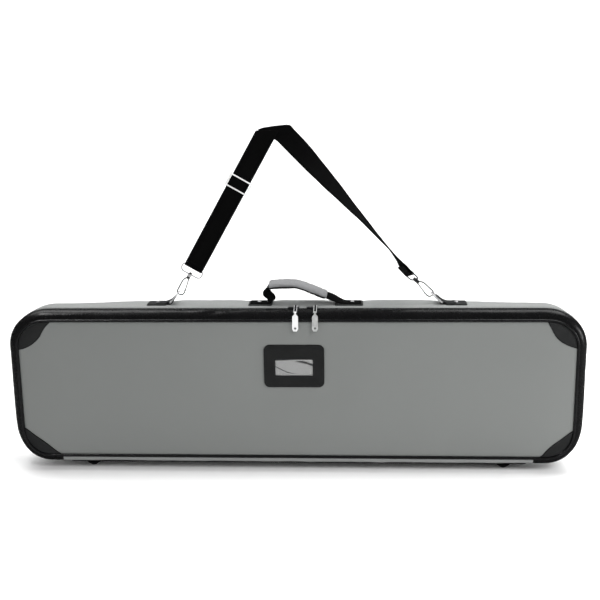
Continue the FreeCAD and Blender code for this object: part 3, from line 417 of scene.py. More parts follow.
def outline(xs=None, step=7.0, nc=26):
    """the bag's rounded outline in X, Z with outward normals; closed, or open from (xs, bottom) round the top to (-xs, bottom)"""
    P, N = [], []

    def line(a, b, n, last=False):
        a, b = V3(*a), V3(*b)
        k = max(1, int(round(np.linalg.norm(b - a) / step)))
        for t in range(k + (1 if last else 0)):
            P.append(a + (b - a) * t / k)
            N.append(n)

    def arc(cx, cz, a0):
        for t in range(nc):
            a = math.radians(a0 + 90.0 * t / nc)
            N.append((math.cos(a), math.sin(a)))
            P.append(V3(cx + RC * math.cos(a), cz + RC * math.sin(a)))
    s = 0.0 if xs is None else xs
    cx = HX - RC
    line((s, Z0), (cx, Z0), (0, -1))
    arc(cx, Z0 + RC, -90)
    line((HX, Z0 + RC), (HX, Z1 - RC), (1, 0))
    arc(cx, Z1 - RC, 0)
    line((cx, Z1), (-cx, Z1), (0, 1))
    arc(-cx, Z1 - RC, 90)
    line((-HX, Z1 - RC), (-HX, Z0 + RC), (-1, 0))
    arc(-cx, Z0 + RC, 180)
    line((-cx, Z0), (-s, Z0), (0, -1), last=xs is not None)
    return np.array(P), np.array(N, float)


def sweep(section, xs=None, step=7.0, nc=26, P=None, N=None, closed=None):
    """section is a list of (inset, y); returns verts, faces, rows x columns"""
    if P is None:
        P, N = outline(xs, step, nc)
        closed = xs is None
    n = len(P)
    v = np.concatenate([np.c_[P[:, 0] - i * N[:, 0], np.full(n, y), P[:, 1] - i * N[:, 1]] for i, y in section])
    f = []
    for k in range(len(section) - 1):
        for j in range(n if closed else n - 1):
            j2 = (j + 1) % n
            f.append((k * n + j, k * n + j2, (k + 1) * n + j2, (k + 1) * n + j))
    return v, f, n


def seg_dist(p, loop):
    a = loop
    b = np.roll(loop, -1, axis=0)
    out = np.full(len(p), 1e9)
    for i in range(0, len(p), 2000):
        q = p[i:i + 2000]
        d = b - a
        t = np.clip(((q[:, None] - a[None]) * d[None]).sum(2) / ((d * d).sum(1) + 1e-12), 0, 1)
        out[i:i + 2000] = np.linalg.norm(q[:, None] - (a[None] + t[..., None] * d[None]), axis=2).min(1)
    return out


def inside(p, loops):
    c = np.zeros(len(p), bool)
    for loop in loops:
        a, b = loop, np.roll(loop, -1, axis=0)
        for (x1, y1), (x2, y2) in zip(a, b):
            if y1 == y2:
                continue
            m = ((y1 > p[:, 1]) != (y2 > p[:, 1]))
            c ^= m & (p[:, 0] < (x2 - x1) * (p[:, 1] - y1) / (y2 - y1) + x1)
    return c


def area(l):
    return 0.5 * np.sum(l[:, 0] * np.roll(l[:, 1], -1) - l[:, 1] * np.roll(l[:, 0], -1))


def inset_loop(loop, d):
    a = np.roll(loop, 1, axis=0)
    b = np.roll(loop, -1, axis=0)
    t1 = loop - a
    t2 = b - loop
    t1 /= np.linalg.norm(t1, axis=1, keepdims=True) + 1e-9
    t2 /= np.linalg.norm(t2, axis=1, keepdims=True) + 1e-9
    n1 = np.c_[-t1[:, 1], t1[:, 0]]
    n2 = np.c_[-t2[:, 1], t2[:, 0]]
    n = n1 + n2
    L = np.linalg.norm(n, axis=1, keepdims=True) + 1e-9
    n = n / L
    k = 1.0 / np.maximum(0.5, (n * n1).sum(1, keepdims=True))
    return loop + n * d * k * (1 if area(loop) > 0 else -1)


def refine(loop, step, closed=True):
    out = []
    m = len(loop)
    for i in range(m if closed else m - 1):
        a, b = loop[i], loop[(i + 1) % m]
        k = max(1, int(round(np.linalg.norm(b - a) / step)))
        out += [a + (b - a) * t / k for t in range(k)]
    if not closed:
        out.append(loop[-1])
    return np.array(out)


def round_corners(loop, r, n=5):
    """rounded polygon corners"""
    out = []
    m = len(loop)
    for i in range(m):
        p, a, b = loop[i], loop[i - 1], loop[(i + 1) % m]
        ra = min(r, 0.45 * np.linalg.norm(a - p))
        rb = min(r, 0.45 * np.linalg.norm(b - p))
        s = p + (a - p) / np.linalg.norm(a - p) * ra
        e = p + (b - p) / np.linalg.norm(b - p) * rb
        for t in np.linspace(0, 1, n):
            out.append((1 - t) ** 2 * s + 2 * t * (1 - t) * p + t * t * e)
    return np.array(out)


def rrect2(x0, x1, z0, z1, r, step=4.0, n=7):
    out = []
    for cx, cz, a0 in ((x1 - r, z0 + r, -90), (x1 - r, z1 - r, 0), (x0 + r, z1 - r, 90), (x0 + r, z0 + r, 180)):
        for t in range(n + 1):
            a = math.radians(a0 + 90.0 * t / n)
            out.append((cx + r * math.cos(a), cz + r * math.sin(a)))
    return refine(np.array(out), step)


def sheet(loops, spacing, rings=()):
    """triangulates the region inside loops[0] and outside the others; returns points, tris, per-loop boundary indices"""
    pts, edges, marks = [], [], []
    base = 0
    for l in loops:
        n = len(l)
        pts.append(l)
        edges += [(base + i, base + (i + 1) % n) for i in range(n)]
        marks.append(np.arange(base, base + n))
        base += n
    for k, l in enumerate(loops):
        for d in rings:
            r = inset_loop(l, d if k == 0 else -d)
            pts.append(r)
    maxr = max(rings) if len(rings) else 0.0
    lo, hi = loops[0].min(0), loops[0].max(0)
    rows = []
    dz = spacing * 0.866
    for k, z in enumerate(np.arange(lo[1], hi[1], dz)):
        xs = np.arange(lo[0] + (spacing / 2 if k % 2 else 0), hi[0], spacing)
        rows.append(np.c_[xs, np.full(len(xs), z)])
    g = np.concatenate(rows)
    ok = inside(g, loops)
    g = g[ok]
    for l in loops:
        if len(g):
            g = g[seg_dist(g, l) > maxr + spacing * 0.45]
    allp = np.concatenate(pts + [g])
    res = delaunay_2d_cdt([Vector(p) for p in allp], edges, [], 0, 1e-5)
    nv = np.array([tuple(p) for p in res[0]])
    om = {}
    for i, os_ in enumerate(res[3]):
        for o_ in os_:
            om[o_] = i
    tris = np.array([f for f in res[2] if len(f) == 3])
    cen = nv[tris].mean(1)
    tris = tris[inside(cen, loops)]
    return nv, tris, [[om[int(i)] for i in m] for m in marks]


def front(u, v, h):
    return np.c_[u, -h, v]


def flat_top(u, v, h):
    return np.c_[u, v, h]


def flat_under(u, v, h):
    return np.c_[u, v, -h]


def pad(name, loops, spacing, h0, h1, edge, to3d, mat, crown=0.0, crown_len=20.0, top=None, uvscale=None):
    """a closed pad with rounded edges between heights h0 and h1"""
    e = min(edge, (h1 - h0) * 0.49)
    p, tris, marks = sheet(loops, spacing, (e * 0.12, e * 0.5, e, e * 2.2))
    d = np.min([seg_dist(p, l) for l in loops], axis=0)
    q = np.clip(e - d, 0, e)
    drop = e - np.sqrt(np.maximum(e * e - q * q, 0))
    ht = h1 - drop + crown * (1 - np.exp(-np.maximum(d - e, 0) / crown_len))
    if top is not None:
        ht = ht + top(p, d)
    hb = h0 + drop
    n = len(p)
    v = np.concatenate([to3d(p[:, 0], p[:, 1], ht), to3d(p[:, 0], p[:, 1], hb)])
    f = [tuple(t) for t in tris] + [(t[0] + n, t[2] + n, t[1] + n) for t in tris]
    for m in marks:
        k = len(m)
        f += [(m[i], m[(i + 1) % k], m[(i + 1) % k] + n, m[i] + n) for i in range(k)]
    uv = np.concatenate([p, p]) * 0.001
    return obj(name, v, f, mat, uv=uv)


def catmull(pts, step):
    """smooth resampling of a polyline (any dimension) by arc length of its first three columns"""
    p = np.asarray(pts, float)
    ext = np.vstack([2 * p[0] - p[1], p, 2 * p[-1] - p[-2]])
    out = []
    for i in range(1, len(ext) - 2):
        a, b, c, d = ext[i - 1:i + 3]
        k = max(2, int(np.linalg.norm((c - b)[:3]) / step * 3) + 1)
        for t in np.linspace(0, 1, k, endpoint=False):
            out.append(0.5 * (2 * b + (c - a) * t + (2 * a - 5 * b + 4 * c - d) * t * t + (3 * b - a - 3 * c + d) * t ** 3))
    out.append(p[-1])
    out = np.array(out)
    s = np.r_[0, np.cumsum(np.linalg.norm(np.diff(out[:, :3], axis=0), axis=1))]
    k = max(2, int(round(s[-1] / step)) + 1)
    t = np.linspace(0, s[-1], k)
    return np.array([np.interp(t, s, out[:, j]) for j in range(out.shape[1])]).T, t


def tangents(p):
    t = np.gradient(p, axis=0)
    return t / (np.linalg.norm(t, axis=1, keepdims=True) + 1e-12)


def ribbon(name, path, side, half, thick, mat, step=3.0, na=9, edge=None, cup=0.0, wav=0.0, skew=None, seed=1):
    """a flat strap along path (N x 3) with side vectors (N x 3 or one); half is half its width"""
    path = np.asarray(path, float)
    side = np.asarray(side, float)
    if side.ndim == 1:
        side = np.tile(side, (len(path), 1))
    hw = np.full(len(path), half, float) if np.isscalar(half) else np.asarray(half, float)
    q, s = catmull(np.c_[path, side, hw], step)
    c, w, hw = q[:, :3], q[:, 3:6], q[:, 6]
    t = tangents(c)
    w = w - t * (w * t).sum(1, keepdims=True)
    w /= np.linalg.norm(w, axis=1, keepdims=True)
    n = np.cross(t, w)
    e = edge if edge is not None else thick * 0.5
    prof = []
    for a in np.linspace(-1, 1, na):
        prof.append((a, 0.0, 1))
    prof2 = []
    h = thick / 2
    xs = np.linspace(-1, 1, na)
    top = [(x, h) for x in xs[1:-1]]
    bot = [(x, -h) for x in xs[1:-1][::-1]]
    prof2 = [(-1, 0.55 * h)] + top + [(1, 0.55 * h), (1, -0.55 * h)] + bot + [(-1, -0.55 * h)]
    # rounded ends: pull the first and last flat points in a little
    K = len(prof2)
    verts, uv = [], []
    for a, b in prof2:
        ww = (np.abs(a) == 1)
        x = a * (hw - (0.0 if ww else e * (abs(a) ** 12)))
        off = (cup(s) if callable(cup) else cup) * (1 - a * a)
        wv = wav * wob(np.c_[s, np.full(len(s), a * 20), np.zeros(len(s))], 60, seed)
        verts.append(c + w * x[:, None] + n * (b + off + wv)[:, None])
        uv.append(np.c_[s, x] * 0.001)
    verts = np.array(verts).transpose(1, 0, 2).reshape(-1, 3)
    uv = np.array(uv).transpose(1, 0, 2).reshape(-1, 2)
    m = len(c)
    if skew is not None:
        verts = skew(verts)
    f = []
    for i in range(m - 1):
        for k in range(K):
            k2 = (k + 1) % K
            f.append((i * K + k, i * K + k2, (i + 1) * K + k2, (i + 1) * K + k))
    f.append(tuple(range(K)))
    f.append(tuple(range((m - 1) * K, m * K))[::-1])
    return obj(name, verts, f, mat, uv=uv)


def tube(name, path, r, mat, closed=False, n=12, step=None, rfun=None):
    c = np.asarray(path, float)
    if step:
        c, _ = catmull(c, step)
    m = len(c)
    if closed:
        t = np.roll(c, -1, 0) - np.roll(c, 1, 0)
        t /= np.linalg.norm(t, axis=1, keepdims=True)
    else:
        t = tangents(c)
    ref = V3(0, 1, 0)
    a = np.cross(t, ref)
    a /= np.linalg.norm(a, axis=1, keepdims=True) + 1e-9
    b = np.cross(t, a)
    rr = np.full(m, r) if rfun is None else rfun(c)
    v = []
    for k in range(n):
        an = 2 * math.pi * k / n
        v.append(c + (a * math.cos(an) + b * math.sin(an)) * rr[:, None])
    v = np.array(v).transpose(1, 0, 2).reshape(-1, 3)
    f = []
    for i in range(m if closed else m - 1):
        i2 = (i + 1) % m
        for k in range(n):
            f.append((i * n + k, i * n + (k + 1) % n, i2 * n + (k + 1) % n, i2 * n + k))
    if not closed:
        f += [tuple(range(n)), tuple(range((m - 1) * n, m * n))[::-1]]
    return obj(name, v, f, mat)


def scatter(name, tv, tf, O, T, N, mat):
    """copies of a small template (verts in T, N, B axes) at frames O, T, N"""
    O, T, N = (np.asarray(a, float) for a in (O, T, N))
    B = np.cross(T, N)
    tv = np.asarray(tv, float)
    v = O[:, None] + tv[None, :, 0:1] * T[:, None] + tv[None, :, 1:2] * N[:, None] + tv[None, :, 2:3] * B[:, None]
    k = len(tv)
    f = []
    for i in range(len(O)):
        f += [tuple(a + i * k for a in t) for t in tf]
    return obj(name, v.reshape(-1, 3), f, mat)


def capsule(L, r, n=6, rise=0.0):
    """a thread stitch: ends dip into the cloth"""
    xs = [(-0.5, 0.05, -0.6), (-0.44, 0.7, 0.0), (-0.2, 1.0, 0.45), (0.2, 1.0, 0.45), (0.44, 0.7, 0.0), (0.5, 0.05, -0.6)]
    v, f = [], []
    for x, k, up in xs:
        for j in range(n):
            a = 2 * math.pi * j / n
            v.append((x * L, r * k * math.sin(a) + up * r, r * k * math.cos(a)))
    for i in range(len(xs) - 1):
        for j in range(n):
            f.append((i * n + j, i * n + (j + 1) % n, (i + 1) * n + (j + 1) % n, (i + 1) * n + j))
    f += [tuple(range(n)), tuple(range((len(xs) - 1) * n, len(xs) * n))[::-1]]
    return v, f


def along(path, pitch, closed=False):
    p = np.asarray(path, float)
    if closed:
        p = np.vstack([p, p[:1]])
    s = np.r_[0, np.cumsum(np.linalg.norm(np.diff(p, axis=0), axis=1))]
    k = max(1, int(s[-1] / pitch))
    t = (np.arange(k) + 0.5) * s[-1] / k
    O = np.array([np.interp(t, s, p[:, j]) for j in range(3)]).T
    A = np.array([np.interp(t - 0.4, s, p[:, j]) for j in range(3)]).T
    Bq = np.array([np.interp(t + 0.4, s, p[:, j]) for j in range(3)]).T
    T = Bq - A
    T /= np.linalg.norm(T, axis=1, keepdims=True) + 1e-12
    return O, T


def stitch(name, paths, nrm, mat="thread_dark", pitch=4.2, L=3.0, r=0.42, closed=False):
    Os, Ts, Ns = [], [], []
    for p in paths:
        O, T = along(p, pitch, closed)
        N = nrm(O) if callable(nrm) else np.tile(V3(*nrm), (len(O), 1))
        N = N - T * (N * T).sum(1, keepdims=True)
        N /= np.linalg.norm(N, axis=1, keepdims=True) + 1e-12
        Os.append(O), Ts.append(T), Ns.append(N)
    v, f = capsule(L, r)
    return scatter(name, v, f, np.concatenate(Os), np.concatenate(Ts), np.concatenate(Ns), mat)


def settle(o):
    """the face's lower edge hangs lower, the lower corners pull in, and the ends of the top droop a little"""
    co = coords(o) * 1000
    ax = np.abs(co[:, 0])
    y, z = co[:, 1], co[:, 2]
    frontal = np.clip((-38 - y) / 20.0, 0, 1) ** 1.3
    co[:, 2] -= 6.2 * np.clip((222 - z) / 165.0, 0, 1) * frontal
    droop = np.clip((ax - 606) / 90.0, 0, 1)
    co[:, 2] -= 3.6 * droop * droop * (3 - 2 * droop) * np.clip((z - 320) / 80.0, 0, 1)
    back = np.clip((ax - 330) / 300.0, 0, 1)
    co[:, 2] -= 4.6 * back * back * (3 - 2 * back) * np.clip(y / 48.0, 0, 1) * np.clip((z - 300) / 100.0, 0, 1)
    pull = np.clip((ax - 655) / 60.0, 0, 1) * np.exp(-((z - 70) / 48.0) ** 2) * np.clip((10 - y) / 20.0, 0, 1)
    co[:, 0] -= np.sign(co[:, 0]) * 4.5 * pull * (1 - 0.6 * frontal)
    set_coords(o, co / 1000)
    return o


# ------------------------------------------------------------------ body shell
sec = [(2.3, -20.0), (2.2, -23.2), (1.7, -24.4), (0.9, -24.9), (0.25, -24.2), (0.0, -22.6), (0.0, -19.0), (0.15, -17.6), (0.0, -16.0)]
sec += [(0.0, y) for y in np.linspace(-10, 46, 9)]
sec += [(14 - 14 * math.cos(a), 47 + 14 * math.sin(a)) for a in np.linspace(0, math.pi / 2, 8)]
v, f, n = sweep(sec, None, 7.0, 28)
last = len(sec) - 1
ring = v[last * n:(last + 1) * n]
inner, tris, marks = sheet([ring[:, [0, 2]]], 16.0, (9.0,))
bp = np.c_[inner[:, 0], np.full(len(inner), 61.0), inner[:, 1]]
dd = seg_dist(inner, ring[:, [0, 2]])
bp[:, 1] += 1.6 * (1 - np.exp(-dd / 40.0)) + 0.5 * (1 - np.exp(-dd / 30.0)) * wob(bp, 130, 5, (1.6, 1, 1))
remap = {}
for j, mk in enumerate(marks[0]):
    remap[mk] = last * n + j
off = len(v)
allv = np.vstack([v, bp])
f += [tuple(remap.get(int(i), int(i) + off) for i in t) for t in tris]
shell = obj("body_shell_v", allv, f, "shell")
bm = bmesh.new()
bm.from_mesh(shell.data)
bmesh.ops.delete(bm, geom=[x for x in bm.verts if not x.link_faces], context="VERTS")
bmesh.ops.recalc_face_normals(bm, faces=bm.faces)
bm.to_mesh(shell.data)
bm.free()
co = coords(shell) * 1000
nr = normals(shell)
side = (co[:, 1] > -15) & (co[:, 1] < 56)
wt = np.clip((co[:, 1] + 15) / 18, 0, 1) * np.clip((60 - co[:, 1]) / 14, 0, 1)
amp = 0.55 * wob(co, 95, 11, (1.5, 0.8, 1.2)) + 0.3 * wob(co, 38, 12, (1.4, 0.7, 1.2))
sag = -0.6 * np.exp(-((co[:, 1] - 18) / 26.0) ** 2)
bulge = 3.4 * np.clip((co[:, 1] + 12) / 56.0, 0, 1) ** 1.3 * np.clip((co[:, 2] - 330) / 80.0, 0, 1)
free = np.ones(len(co))
for xc, xw in ((-90, 45), (135, 55), (-348, 45), (402, 50)):
    free *= 1 - np.exp(-((co[:, 0] - xc) / xw) ** 4) * (co[:, 2] > 400)
under = (co[:, 2] < 30) & (np.abs(co[:, 0]) < 625)
disp = np.where(under, 0.0, (amp + sag) * wt * free)
mid_ = 1 - np.clip((np.abs(co[:, 0]) - 260) / 330.0, 0, 1)
lift = bulge * mid_ * mid_ * (3 - 2 * mid_) * (0.25 + 0.75 * free) * np.clip((62 - co[:, 1]) / 8.0, 0, 1) * np.clip(nr[:, 2] * (1 if nr[co[:, 2] > 420][:, 2].mean() > 0 else -1), 0, 1)
sgn = 1.0 if (nr[co[:, 2] > 420][:, 2].mean() > 0) else -1.0
co = co + nr * sgn * disp[:, None]
co[:, 2] += lift
set_coords(shell, co / 1000)
solidify(shell, 1.6, -1.0 if sgn > 0 else 1.0)
shell.data.materials.clear()
shell.data.materials.append(M["shell"])
shell.data.materials.append(M["back"])
for p in shell.data.polygons:
    c = p.center * 1000
    p.material_index = 1 if (c.y > 57) else 0
settle(shell)
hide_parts("body_shell")
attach(shell, "body")

# rolled hem stitching along the shell's front rim and the back edge seam
P, N = outline(None, 7.0, 28)
hem = np.c_[P[:, 0], np.full(len(P), -19.6), P[:, 1]]
keep = ~((hem[:, 2] < 23) & (np.abs(hem[:, 0]) < 612))
start = int(np.where(~keep)[0].max()) + 1 if (~keep).any() else 0


def ring_normals(O):
    out = []
    for q in O:
        x = min(max(q[0], -(HX - RC)), HX - RC)
        z = min(max(q[2], Z0 + RC), Z1 - RC)
        d = V3(q[0] - x, 0, q[2] - z)
        if abs(d[0]) + abs(d[2]) < 1e-6:
            d = V3(0, 0, 1)
        out.append(d / np.linalg.norm(d))
    return np.array(out)


Po, No = outline(606.0, 7.0, 28)
hem = np.c_[Po[:, 0] + No[:, 0] * 0.15, np.full(len(Po), -19.4), Po[:, 1] + No[:, 1] * 0.15]
st = stitch("hem_stitches_v", [hem], ring_normals, "thread_grey", 4.4, 3.2, 0.36)
settle(st)
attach(st, "body")
sb, nb = outline(None, 7.0, 28)
seam = np.c_[sb[:, 0] - nb[:, 0] * 14.5, np.full(len(sb), 61.3), sb[:, 1] - nb[:, 1] * 14.5]
wel = tube("back_welt_v", np.c_[sb[:, 0] - nb[:, 0] * 4.2, np.full(len(sb), 56.9), sb[:, 1] - nb[:, 1] * 4.2], 2.0, "piping", True, 10)
settle(wel)
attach(wel, "body")
st = stitch("back_stitches_v", [seam], (0, 1, 0), "thread_grey", 4.4, 3.2, 0.4, closed=True)
settle(st)
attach(st, "body")

# ------------------------------------------------------------------ body inner (padded lining)
sec = [(3.6, -15.2), (4.6, -16.9), (6.6, -17.6), (8.8, -17.2), (10.4, -15.6), (11.0, -12.5), (11.2, -6.0)]
sec += [(11.2, y) for y in np.linspace(1, 36, 6)]
sec += [(11.2 + 8 - 8 * math.cos(a), 38.2 + 8 * math.sin(a)) for a in np.linspace(0, math.pi / 2, 6)]
v, f, n = sweep(sec, None, 9.0, 20)
last = len(sec) - 1
ring = v[last * n:(last + 1) * n]
inner, tris, marks = sheet([ring[:, [0, 2]]], 11.0, (5.0,))
dd = seg_dist(inner, ring[:, [0, 2]])
qx = np.abs(((inner[:, 0] + inner[:, 1]) / 84.0) % 1.0 - 0.5) * 2
qz = np.abs(((inner[:, 0] - inner[:, 1]) / 84.0) % 1.0 - 0.5) * 2
quilt = np.minimum(np.minimum(1 - qx, 1), np.minimum(1 - qz, 1))
puff = 2.2 * (1 - np.exp(-quilt / 0.16)) * (1 - np.exp(-dd / 12.0))
bp = np.c_[inner[:, 0], 46.6 - puff, inner[:, 1]]
remap = {mk: last * n + j for j, mk in enumerate(marks[0])}
off = len(v)
f += [tuple(remap.get(int(i), int(i) + off) for i in t) for t in tris]
lin = obj("body_lining_v", np.vstack([v, bp]), f, "lining", recalc=True)
bm = bmesh.new()
bm.from_mesh(lin.data)
bmesh.ops.delete(bm, geom=[x for x in bm.verts if not x.link_faces], context="VERTS")
bm.to_mesh(lin.data)
bm.free()
co = coords(lin) * 1000
nr = normals(lin)
w = np.clip((co[:, 1] + 12) / 10, 0, 1) * np.clip((44 - co[:, 1]) / 10, 0, 1)
set_coords(lin, (co + nr * (0.7 * wob(co, 60, 21) * w)[:, None]) / 1000)
solidify(lin, 0.8, 0.0)
settle(lin)
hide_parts("body_lining", "gusset_foam", "back_foam_pad")
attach(lin, "body")

# ------------------------------------------------------------------ lid shoulder (glossy black band)
R = 24.4
band = [(2.4, -34.8), (1.4, -35.4), (0.5, -35.8), (0.0, -36.8), (0.0, -38.2)]
band += [(R - R * math.cos(a), -36.6 - R * math.sin(a)) for a in np.linspace(0.10, math.radians(81), 12)]
band += [(20.9, -59.9), (21.4, -58.3), (23.0, -57.6), (26.5, -57.5), (30.5, -57.8), (33.6, -57.9)]


def crumple(o, free_fn=None, a1=0.55, a2=0.42, seed=31):
    co = coords(o) * 1000
    nr = normals(o)
    yy = co[:, 1]
    w = np.clip((-37 - yy) / 4, 0, 1) * np.clip((yy + 60.3) / 3, 0, 1)
    # long soft ripples that run along the band, stronger in a few places
    P3 = co.copy()
    local = 0.35 + 0.95 * np.exp(-((co[:, 0] + 190) / 75.0) ** 2) * (co[:, 2] > 380) + 0.35 * np.clip(wob(co, 240, seed + 3), 0, 1)
    d = a1 * wob(P3, 46, seed, (2.6, 0.55, 1.0)) + a2 * wob(P3, 20, seed + 1, (2.2, 0.6, 1.0))
    up = np.sign((nr * ring_normals(co)).sum(1).mean()) or 1.0
    set_coords(o, (co + nr * up * (d * w * local)[:, None]) / 1000)
    return up


v, f, n = sweep(band, 602.0, 5.0, 30)
lid = obj("lid_band_v", v, f, "gloss", recalc=True)
up = crumple(lid)
solidify(lid, 1.5, -1.0 if up > 0 else 1.0)
settle(lid)
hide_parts("lid_shoulder")
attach(lid, "lid")

# hinge strip: the same section in grey, running back on to the body
hsec = [(0.2, -24.3), (0.0, -25.4), (0.0, -28.5), (0.35, -31.0), (0.5, -33.0), (0.0, -36.0)] + [(R - R * math.cos(a), -36.6 - R * math.sin(a)) for a in np.linspace(0.10, math.radians(81), 12)] + band[-6:]
xs = np.linspace(601.4, -601.4, 241)
Ph = np.c_[xs, np.full(len(xs), Z0)]
Nh = np.tile(V3(0, -1), (len(xs), 1))
v, f, n = sweep(hsec, None, P=Ph, N=Nh, closed=False)
hs = obj("hinge_strip_v", v, f, "strip", recalc=True)
co = coords(hs) * 1000
nr = normals(hs)
upz = -1.0 if nr[np.abs(co[:, 1] + 36) < 1.0][:, 2].mean() > 0 else 1.0
w = np.clip((-26 - co[:, 1]) / 4, 0, 1) * np.clip((co[:, 1] + 60.3) / 3, 0, 1)
set_coords(hs, (co + nr * upz * (w * (0.5 * wob(co, 70, 41, (2.0, 0.6, 1)) + 0.25 * wob(co, 28, 42, (2.0, 0.6, 1))))[:, None]) / 1000)
solidify(hs, 1.4, -1.0 if upz > 0 else 1.0)
settle(hs)
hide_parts("hinge_strip")
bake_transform(hs)

# ------------------------------------------------------------------ lid panel
Pn, Nn = outline(None, 8.0, 20)
loop = Pn - Nn * 28.0
pts, tris, marks = sheet([loop], 10.0, (1.5, 4.0, 9.0))
d = seg_dist(pts, loop)
tx = np.maximum(np.abs(pts[:, 0] - 1) - 84, 0)
tz = np.maximum(np.maximum(222 - pts[:, 1], pts[:, 1] - 400), 0)
held = 1 - np.exp(-((tx * tx + tz * tz) ** 0.5 / 62.0) ** 2)
y = -59.3 - 1.6 * (1 - np.exp(-d / 3.0)) - 2.3 * (1 - np.exp(-d / 38.0)) * held
panel = obj("lid_panel_v", np.c_[pts[:, 0], y, pts[:, 1]], tris, "panel", recalc=False)
if normals(panel)[:, 1].mean() > 0:
    panel.data.flip_normals()
co = coords(panel)
extra = -0.35 * wob(co * 1000, 210, 51, (1.8, 1, 0.9)) * (1 - np.exp(-d / 45.0)) * held * 0.001
sim = cloth(panel, d < 2.5, 20, 2.0, 12.0, -0.002, 0.4)
mv = sim - co
dy = np.clip(-mv[:, 1], -0.004, 0.05)
ee = np.array([tuple(e.vertices) for e in panel.data.edges])
deg = np.bincount(ee.ravel(), minlength=len(dy)).astype(float)
for it in range(14):
    acc = np.zeros(len(dy))
    np.add.at(acc, ee[:, 0], dy[ee[:, 1]])
    np.add.at(acc, ee[:, 1], dy[ee[:, 0]])
    dy = np.where(d < 2.5, dy, 0.5 * dy + 0.5 * acc / np.maximum(deg, 1))
peak = max(1e-6, float(np.percentile(dy, 95)))
co[:, 1] -= 0.0030 * np.tanh(dy / peak) / math.tanh(1.0) * held
co[:, 1] += extra
set_coords(panel, co)
subdivide(panel, 1)
settle(panel)
PANEL = BVHTree.FromPolygons([tuple(q) for q in coords(panel)], [tuple(p.vertices) for p in panel.data.polygons])
solidify(panel, 1.5, -1.0)
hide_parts("lid_panel")
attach(panel, "lid")


def panel_y(x, z):
    """how far the panel's face stands from y = -61 at (x, z), in mm (negative is forward)"""
    out = np.zeros(len(x))
    for i, (a, b) in enumerate(zip(x, z)):
        h = PANEL.ray_cast(Vector((a / 1000, -0.2, b / 1000)), Vector((0, 1, 0)))
        out[i] = (h[0].y * 1000 + 61.0) if h[0] is not None else 0.6
    return out


def drape(o, keep_up=True):
    settle(o)
    co = coords(o) * 1000
    co[:, 1] += np.minimum(panel_y(co[:, 0], co[:, 2]), 0.8)
    set_coords(o, co / 1000)
    return o


# ------------------------------------------------------------------ lid piping
Pp, Np = outline(None, 4.0, 40)
pc = np.c_[Pp[:, 0] - Np[:, 0] * 24.4, np.full(len(Pp), -61.3), Pp[:, 1] - Np[:, 1] * 24.4]
pc[:, 1] += 0.25 * wob(pc, 60, 61)
pip = tube("lid_piping_v", pc, 3.5, "piping", True, 16, rfun=lambda c: 3.5 + 0.12 * wob(c, 17, 62) + 0.1 * wob(c, 70, 63))
settle(pip)
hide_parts("lid_piping")
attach(pip, "lid")
pst = np.c_[Pp[:, 0] - Np[:, 0] * 20.6, np.full(len(Pp), -60.6), Pp[:, 1] - Np[:, 1] * 20.6]
st = stitch("band_stitches_v", [pst], lambda O: ring_normals(O) * 0.45 + V3(0, -1, 0), "thread_black", 4.6, 3.4, 0.4, closed=True)
settle(st)
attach(st, "lid")

# ------------------------------------------------------------------ lid inside (padded lining)
loop = Pn - Nn * 34.6


def lid_quilt(p, dd_):
    a = np.abs(((p[:, 0] + p[:, 1]) / 84.0) % 1.0 - 0.5) * 2
    b = np.abs(((p[:, 0] - p[:, 1]) / 84.0) % 1.0 - 0.5) * 2
    q_ = np.minimum(1 - a, 1 - b)
    return 1.6 * (1 - np.exp(-q_ / 0.16)) * (1 - np.exp(-dd_ / 12.0)) - 1.6


li = pad("lid_lining_v", [loop], 12.0, 49.4, 58.6, 4.0, lambda u, w_, h: np.c_[u, -(108.0 - h), w_], "lining_lid", 1.2, 20.0, lid_quilt)
settle(li)
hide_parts("lid_lining", "lid_foam_pad")
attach(li, "lid")

# ------------------------------------------------------------------ zip
Pz, Nz = outline(602.0, 4.0, 40)


def tape(name, y0, y1, body, node, seed):
    ys = np.linspace(y0, y1, 6)
    sc_ = [(2.75 + 0.0 * k, yy) for k, yy in enumerate(ys)]
    v, f, n = sweep(sc_, None, P=Pz, N=Nz, closed=False)
    s = np.r_[0, np.cumsum(np.linalg.norm(np.diff(Pz, axis=0), axis=1))]
    uv = np.concatenate([np.c_[s, np.full(n, yy)] for yy in ys]) * 0.001
    o = obj(name, v, f, "tape", uv=uv, recalc=True)
    solidify(o, 0.7, 0.0)
    settle(o)
    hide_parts(node)
    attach(o, body)
    return o


tape("body_zip_tape_v", -28.6, -15.4, "body", "body_zip_tape", 1)
tape("lid_zip_tape_v", -43.0, -31.4, "lid", "lid_zip_tape", 2)


